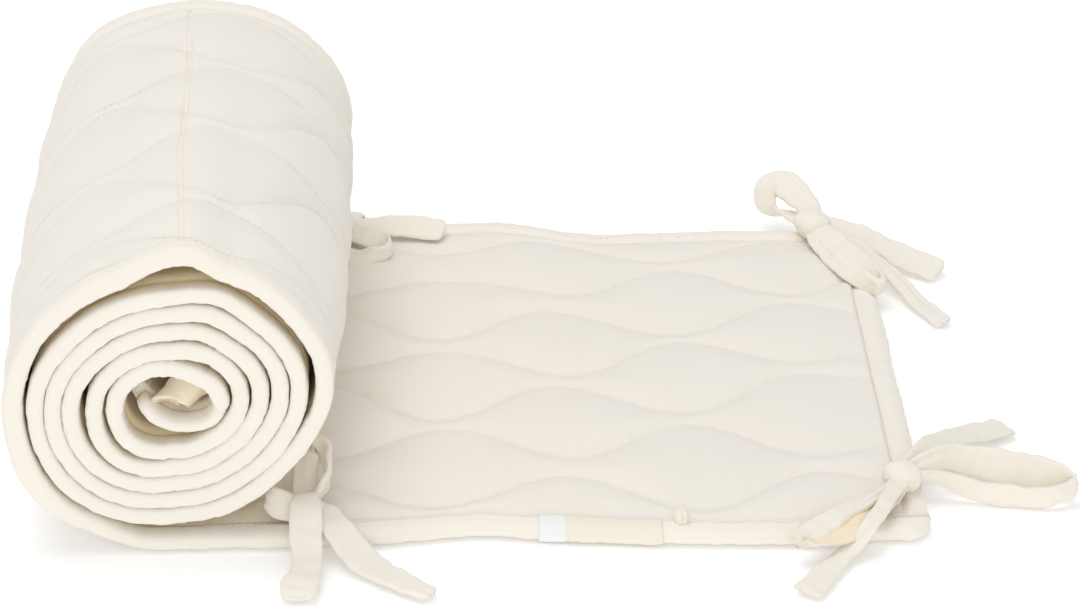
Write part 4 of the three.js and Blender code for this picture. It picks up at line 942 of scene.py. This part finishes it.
def build_label(settings, material):
    """A blank tape sewn over the near binding, from its seam to its nose."""
    path, points, _, _ = long_binding(-1, settings)
    flat = (path.kind == "flat") & (path.place[:, 0] < PANEL_END_X)
    section = points[flat, 1:23]
    station = path.place[flat, 0]
    x = np.linspace(LABEL["to"], LABEL["from"], 70)
    base = np.empty((len(x), section.shape[1], 3))
    for i in range(section.shape[1]):
        for axis in range(3):
            base[:, i, axis] = np.interp(x, station[::-1], section[::-1, i, axis])
    out = np.cross(np.gradient(base, axis=1), np.gradient(base, axis=0))
    out /= np.linalg.norm(out, axis=-1, keepdims=True)
    out *= np.sign(out[..., 2:].mean())
    from_patch = (x - LABEL["from"] - LABEL["patch"])[:, None]
    raised = LABEL["thick"] + 0.12 * smoothstep(0.6, 0.0, from_patch)
    raised = raised - 0.25 * np.exp(-((from_patch - 0.9) / 0.5) ** 2)
    raised = raised + 0.06 * wobble(x[:, None], np.arange(section.shape[1])[None] * 1.0, "label", 91)
    lower = base + out * LABEL["lift"]
    upper = base + out * (LABEL["lift"] + raised)[..., None]
    rings = np.concatenate([lower, upper[:, ::-1]], 1)
    cloth = spread(x[:, None], np.linspace(0, 24, rings.shape[1])[None])
    mesh = Mesh()
    mesh.tube(rings, cloth)
    obj = mesh.build("label_tape", material, ["label_blank"])


def build_button(material):
    """A small cloth-covered knob with a slit over its crown."""
    t = np.linspace(0, 7, 44)
    out, up = (hermite(np.arange(8.0), np.asarray(BUTTON_PROFILE[key]), t)[:, None] for key in ("out", "up"))
    around = np.linspace(0, 2 * math.pi, 48, endpoint=False)[None]
    out = np.maximum(out, 0.004)
    x = BUTTON["radius"] * out * np.cos(around)
    y = BUTTON["deep"] * out * np.sin(around)
    slit = np.exp(-((x - 0.7 + 0.35 * up) / 0.5) ** 2)
    slit = slit * smoothstep(-0.6, -1.6, y) * smoothstep(0.25, 0.45, up)
    gathers = 0.06 * np.sin(around * 14) * out ** 3
    y = y + BUTTON["slit"] * slit
    z = BUTTON["rise"] * up + gathers
    points = np.stack([x, y, z], -1) + np.asarray(BUTTON["at"])
    cloth = np.stack([x, y + z], -1)
    mesh = Mesh()
    # Painted shade in the slit.
    mesh.tube(points, cloth, 0.3 * slit)
    mesh.build("button_cover", material, ["button"])


# Stitches

def shows_stitches(path):
    """Which stations of the outer turn have stitches."""
    low, high = STITCHED_TURN
    return (path.kind == "roll") & (path.angle > low) & (path.angle < high)


def seam_routes(settings):
    """Lines of stitching on the quilting, as lists of points."""
    path = shown_path(settings)
    lines = seam_lines(path.along)
    half = path.half[:, None]
    angle = path.angle[:, None]
    routes = []
    top = (path.kind == "flat") & (path.place[:, 0] > 14) & (path.place[:, 0] < PANEL_END_X - 3)
    outer = shows_stitches(path)
    for k in range(1, lines.shape[1] - 1):
        across = lines[:, k:k + 1]
        if k > 1:
            routes.append(path.points(across, -(half - SEAM_SINK + 0.12))[top, 0])
        swell = belly_at(angle, across) + swell_at(angle)
        routes.append(path.points(across, half - ROLL_RELIEF * SEAM_SINK + swell + 0.1)[outer, 0])
    return routes


def edge_routes(settings):
    """Lines of stitching beside the binding, as lists of points."""
    path = shown_path(settings)
    flat = (path.kind == "flat") & (path.place[:, 0] > 12)
    outer = shows_stitches(path)
    out = path.half[:, None] + swell_at(path.angle[:, None]) - 0.05
    routes = []
    for side in (-1, 1):
        across = np.full((len(path.kind), 1), side * (PANEL_EDGE + EDGE_SEAM))
        routes.append(path.points(across, -(FLAT_HALF - 0.05))[flat, 0])
        routes.append(path.points(across, out)[outer, 0])
    y = np.linspace(-PANEL_EDGE + 4, PANEL_EDGE - 4, 120)
    routes.append(lay_flat(PANEL_END_X + EDGE_SEAM, y, 2 * FLAT_HALF - 0.05))
    return routes


STITCH_INPUTS = {
    "Geometry": "Geometry", "Pitch": "Float", "Length": "Float", "Width": "Float", "Unevenness": "Float",
    "Seed": "Int", "Material": "Material",
}
STITCH_NODES = {
    "start": "NodeGroupInput",
    "end": "NodeGroupOutput",
    "curve": "GeometryNodeMeshToCurve",
    "resample": "GeometryNodeResampleCurve",
    "ball": "GeometryNodeMeshUVSphere",
    "size": "ShaderNodeCombineXYZ",
    "shaped": "GeometryNodeTransform",
    "tangent": "GeometryNodeInputTangent",
    "align": "FunctionNodeAlignRotationToVector",
    "jitter": "FunctionNodeRandomValue",
    "low": "ShaderNodeMath",
    "place": "GeometryNodeInstanceOnPoints",
    "real": "GeometryNodeRealizeInstances",
    "coat": "GeometryNodeSetMaterial",
}
STITCH_VALUES = (
    ("ball", "Segments", STITCH["sides"]), ("ball", "Rings", STITCH["rings"]), ("ball", "Radius", 0.5),
    ("low", 0, 1.0), ("jitter", 3, 1.0),
)
STITCH_LINKS = (
    ("start", "Geometry", "curve", "Mesh"), ("curve", "Curve", "resample", "Curve"),
    ("start", "Pitch", "resample", "Length"), ("start", "Length", "size", "X"),
    ("start", "Width", "size", "Y"), ("start", "Width", "size", "Z"),
    ("ball", "Mesh", "shaped", "Geometry"), ("size", "Vector", "shaped", "Scale"),
    ("tangent", "Tangent", "align", "Vector"), ("start", "Unevenness", "low", 1),
    ("low", "Value", "jitter", 2),
    ("start", "Seed", "jitter", "Seed"), ("resample", "Curve", "place", "Points"),
    ("shaped", "Geometry", "place", "Instance"), ("align", "Rotation", "place", "Rotation"),
    ("jitter", 1, "place", "Scale"), ("place", "Instances", "real", "Geometry"),
    ("real", "Geometry", "coat", "Geometry"), ("start", "Material", "coat", "Material"),
    ("coat", "Geometry", "end", "Geometry"),
)


def stitch_tree():
    """Lays a short rounded stitch at even steps along every edge line of the object."""
    tree = bpy.data.node_groups.new("Stitches", "GeometryNodeTree")
    for name, kind in STITCH_INPUTS.items():
        tree.interface.new_socket(name, in_out="INPUT", socket_type="NodeSocket" + kind)
    tree.interface.new_socket("Geometry", in_out="OUTPUT", socket_type="NodeSocketGeometry")
    nodes = {key: tree.nodes.new(kind) for key, kind in STITCH_NODES.items()}
    nodes["resample"].mode = "LENGTH"
    nodes["align"].axis = "X"
    nodes["jitter"].data_type = "FLOAT"
    nodes["low"].operation = "SUBTRACT"
    for key, socket, value in STITCH_VALUES:
        nodes[key].inputs[socket].default_value = value
    for source, output, target, socket in STITCH_LINKS:
        tree.links.new(nodes[source].outputs[output], nodes[target].inputs[socket])
    return tree


def socket_id(tree, name):
    return next(item.identifier for item in tree.interface.items_tree
                if item.item_type == "SOCKET" and item.in_out == "INPUT" and item.name == name)


def build_stitches(name, routes, settings, material, seed):
    mesh = bpy.data.meshes.new(name + "_lines")
    points = []
    edges = []
    for route in routes:
        edges += [(len(points) + i, len(points) + i + 1) for i in range(len(route) - 1)]
        points += (np.asarray(route) * MM).tolist()
    mesh.from_pydata(points, edges, [])
    obj = link(name, mesh)
    tree = bpy.data.node_groups.get("Stitches") or stitch_tree()
    modifier = obj.modifiers.new("Stitches", "NODES")
    modifier.node_group = tree
    values = {
        "Pitch": settings.stitch_pitch,
        "Length": settings.stitch_pitch * STITCH["share"],
        "Width": settings.thread_width,
        "Unevenness": STITCH["uneven"],
        "Seed": seed,
        "Material": material,
    }
    for key, value in values.items():
        modifier[socket_id(tree, key)] = value
    bpy.context.view_layer.update()
    graph = bpy.context.evaluated_depsgraph_get()
    done = bpy.data.meshes.new_from_object(obj.evaluated_get(graph))
    obj.modifiers.clear()
    obj.data = done
    bpy.data.meshes.remove(mesh)
    if not len(done.polygons):
        raise RuntimeError(name + " came out empty")
    fasten(obj, ())


# Materials

class Field:
    """A shader value that adds, multiplies and compares like a number."""

    def __init__(self, maker, socket):
        self.maker = maker
        self.socket = socket

    def math(self, operation, other=None):
        node = self.maker.tree.nodes.new("ShaderNodeMath")
        node.operation = operation
        for socket, value in zip(node.inputs, (self, other)):
            self.maker.feed(socket, value)
        return Field(self.maker, node.outputs[0])

    def __add__(self, other):
        return self.math("ADD", other)

    def __mul__(self, other):
        return self.math("MULTIPLY", other)

    __radd__ = __add__
    __rmul__ = __mul__

    def __lt__(self, other):
        return self.math("LESS_THAN", other)

    def sin(self):
        return self.math("SINE")


class Surface:
    """Builds one material's nodes."""

    def __init__(self, name):
        self.material = bpy.data.materials.new(name)
        self.material.use_nodes = True
        self.tree = self.material.node_tree
        self.shader = self.tree.nodes["Principled BSDF"]

    def feed(self, socket, value):
        if isinstance(value, Field):
            self.tree.links.new(value.socket, socket)
        elif value is not None:
            socket.default_value = value

    def node(self, kind, settings=None, sockets=None, output=0):
        node = self.tree.nodes.new(kind)
        for key, value in (settings or {}).items():
            setattr(node, key, value)
        for key, value in (sockets or {}).items():
            self.feed(node.inputs[key], value)
        return Field(self, node.outputs[output])

    def solid_place(self):
        return self.node("ShaderNodeTexCoord", None, None, "Object")

    def cloth_place(self):
        place = self.node("ShaderNodeUVMap", {"uv_map": "Cloth"})
        split = self.tree.nodes.new("ShaderNodeSeparateXYZ")
        self.feed(split.inputs[0], place)
        return place, Field(self, split.outputs[0]), Field(self, split.outputs[1])

    def noise(self, place, scale, detail=2.0):
        sockets = {"Vector": place, "Scale": NOISE_SCALE[scale], "Detail": detail}
        return self.node("ShaderNodeTexNoise", None, sockets, "Fac")

    def mix(self, share, first, second):
        """Blends two colours, each a field or three numbers."""
        node = self.tree.nodes.new("ShaderNodeMix")
        node.data_type = "RGBA"
        self.feed(node.inputs["Factor"], share)
        for number, value in ((6, first), (7, second)):
            self.feed(node.inputs[number], value if isinstance(value, Field) else (*value, 1.0))
        return Field(self, node.outputs[2])

    def finish(self, sockets):
        for key, value in sockets.items():
            self.feed(self.shader.inputs[key], value)
        return self.material


def cloth(name, light, dark, inside, weave_pitch, relief, patch=None):
    """Plain-woven cotton: crossing threads, uneven yarns, soft mottling, a faint sheen and painted shade."""
    surface = Surface(name)
    place, along, across = surface.cloth_place()
    turns = 2 * math.pi / weave_pitch
    yarn = surface.noise(place, "yarn", 3.0)
    warp = (along * turns + yarn * 2.4).sin()
    weft = (across * turns + yarn * 2.1).sin()
    weave = warp * weft
    clouds = surface.noise(surface.solid_place(), "clouds")
    specks = surface.noise(place, "specks", 3.0)
    crumple = surface.noise(place, "crumple", 4.0)
    # Painted shade: the colour is blended to the shade colour as far as the mesh's Shade attribute says.
    shade = surface.node("ShaderNodeAttribute", {"attribute_name": "Shade"}, None, "Fac")
    colour = surface.mix(clouds * 0.62 + specks * 0.15 + weave * 0.06, dark, light)
    colour = surface.mix(shade, colour, inside)
    if patch is not None:
        edge, pale = patch
        colour = surface.mix(along < edge, colour, pale)
    height = weave * 0.35 + specks * 0.5 + crumple * 2.2
    bump = {"Strength": relief, "Distance": RELIEF_HEIGHT["cloth"], "Height": height}
    return surface.finish({
        "Base Color": colour,
        "Roughness": specks * 0.12 + 0.8,
        "Specular IOR Level": 0.25,
        "Sheen Weight": 0.18,
        "Sheen Roughness": 0.5,
        "Normal": surface.node("ShaderNodeBump", None, bump),
    })


def thread(name, light, dark):
    surface = Surface(name)
    fuzz = surface.noise(surface.solid_place(), "fuzz")
    bump = {"Strength": 0.4, "Distance": RELIEF_HEIGHT["thread"], "Height": fuzz}
    return surface.finish({
        "Base Color": surface.mix(fuzz, dark, light),
        "Roughness": fuzz * 0.2 + 0.6,
        "Normal": surface.node("ShaderNodeBump", None, bump),
    })


def paper_white(name):
    surface = Surface(name)
    tint = surface.noise(surface.solid_place(), "floor")
    return surface.finish({
        "Base Color": surface.mix(tint, FLOOR["dark"], FLOOR["light"]),
        "Roughness": 0.95,
        "Specular IOR Level": 0.0,
        "Emission Color": (1.0, 1.0, 1.0, 1.0),
        "Emission Strength": FLOOR["glow"],
    })


def make_material(name, key, settings):
    light = tuple(getattr(settings, name + "_colour"))
    dark = tuple(value * share for value, share in zip(light, DARKER_TONE[name]))
    if name == "thread":
        return thread(key, light, dark)
    inside = tuple(settings.painted_shade_colour)
    pitch = settings.weave_pitch
    if name == "label":
        patch = ((LABEL["from"] + LABEL["patch"]) * MM, tuple(settings.patch_colour))
        return cloth(key, light, dark, inside, pitch * LABEL_WEAVE, CLOTH_RELIEF[name], patch)
    return cloth(key, light, dark, inside, pitch, CLOTH_RELIEF[name])


def material(name):
    key = "bumper_" + name
    return bpy.data.materials.get(key) or make_material(name, key, bpy.context.scene.bumper)


# Stage

def build_floor():
    reach, level = FLOOR["reach"], -FLOOR["below"]
    corners = [(-reach, -reach, level), (reach, -reach, level), (reach, reach, level), (-reach, reach, level)]
    mesh = bpy.data.meshes.new("floor")
    mesh.from_pydata(corners, [], [(0, 1, 2, 3)])
    mesh.materials.append(paper_white("Pale floor"))
    floor = link("floor", mesh)


def build_light():
    world = bpy.data.worlds.new("Soft white room")
    world.use_nodes = True
    background = world.node_tree.nodes["Background"]
    background.inputs["Color"].default_value = (*ROOM["colour"], 1.0)
    background.inputs["Strength"].default_value = ROOM["strength"]
    bpy.context.scene.world = world
    for name, light in LIGHTS.items():
        data = bpy.data.lights.new(name, "AREA")
        data.shape = "DISK"
        data.size = light["size"]
        data.energy = light["watts"]
        data.color = light["colour"]
        lamp = link(name, data)
        lamp.location = light["at"]
        way = Vector(light["aim"]) - Vector(light["at"])
        lamp.rotation_euler = way.to_track_quat("-Z", "Y").to_euler()
    bpy.context.scene.view_settings.view_transform = "Standard"


def build_camera():
    data = bpy.data.cameras.new("Photo camera")
    data.sensor_width = CAMERA["sensor"]
    data.sensor_fit = "HORIZONTAL"
    data.lens = CAMERA["lens"]
    data.clip_end = 20.0
    camera = link("Photo camera", data)
    camera.location = [value * MM for value in CAMERA["at"]]
    camera.rotation_euler = [math.radians(value) for value in CAMERA["turn"]]
    bpy.context.scene.camera = camera


# Operators

class BUMPER_OT_quilt(bpy.types.Operator):
    """Build the quilted pad"""

    bl_idname = "bumper.quilt"
    bl_label = "Quilted pad"

    def execute(self, context):
        build_quilt(context.scene.bumper, material("panel"))
        build_wound(context.scene.bumper, material("panel"))
        return {"FINISHED"}


class BUMPER_OT_binding(bpy.types.Operator):
    """Build the rounded binding of all four edges"""

    bl_idname = "bumper.binding"
    bl_label = "Binding"

    def execute(self, context):
        settings = context.scene.bumper
        build_long_binding("binding_near_cloth", -1, settings, material("binding"))
        build_long_binding("binding_far_cloth", 1, settings, material("binding"))
        build_end_binding("binding_end_cloth", "binding_flat_end", material("binding"), False)
        build_end_binding("binding_core_cloth", "binding_core_end", material("binding"), True)
        return {"FINISHED"}


class BUMPER_OT_ties(bpy.types.Operator):
    """Build the bows and the loose tie of the core"""

    bl_idname = "bumper.ties"
    bl_label = "Ties"

    def execute(self, context):
        build_ties(material("tie"))
        return {"FINISHED"}


class BUMPER_OT_trim(bpy.types.Operator):
    """Build the blank label and the button"""

    bl_idname = "bumper.trim"
    bl_label = "Label and button"

    def execute(self, context):
        build_label(context.scene.bumper, material("label"))
        build_button(material("button"))
        return {"FINISHED"}


class BUMPER_OT_stitches(bpy.types.Operator):
    """Sew the quilting and the binding"""

    bl_idname = "bumper.stitches"
    bl_label = "Stitches"

    def execute(self, context):
        settings = context.scene.bumper
        seams, edges = seam_routes(settings), edge_routes(settings)
        build_stitches("quilting_stitches", seams, settings, material("thread"), 4)
        build_stitches("edge_stitches", edges, settings, material("thread"), 8)
        return {"FINISHED"}


class BUMPER_OT_stage(bpy.types.Operator):
    """Set the floor, the light and the camera"""

    bl_idname = "bumper.stage"
    bl_label = "Stage"

    def execute(self, context):
        build_floor()
        build_light()
        build_camera()
        return {"FINISHED"}


class BUMPER_PT_panel(bpy.types.Panel):
    """Settings and steps of the dressing"""

    bl_idname = "BUMPER_PT_panel"
    bl_label = "Crib bumper"
    bl_space_type = "VIEW_3D"
    bl_region_type = "UI"
    bl_category = "Bumper"

    def draw(self, context):
        settings = context.scene.bumper
        for name in BumperSettings.__annotations__:
            self.layout.prop(settings, name)
        for operator in OPERATORS:
            self.layout.operator(operator.bl_idname)


OPERATORS = (BUMPER_OT_quilt, BUMPER_OT_binding, BUMPER_OT_ties, BUMPER_OT_trim, BUMPER_OT_stitches,
             BUMPER_OT_stage)
CLASSES = (BumperSettings, *OPERATORS, BUMPER_PT_panel)


def register():
    for cls in CLASSES:
        bpy.utils.register_class(cls)
    bpy.types.Scene.bumper = bpy.props.PointerProperty(type=BumperSettings)


def unregister():
    del bpy.types.Scene.bumper
    for cls in reversed(CLASSES):
        bpy.utils.unregister_class(cls)


def main():
    register()
    bpy.ops.bumper.quilt()
    bpy.ops.bumper.binding()
    bpy.ops.bumper.ties()
    bpy.ops.bumper.trim()
    bpy.ops.bumper.stitches()
    bpy.ops.bumper.stage()


if __name__ == "__main__":
    main()
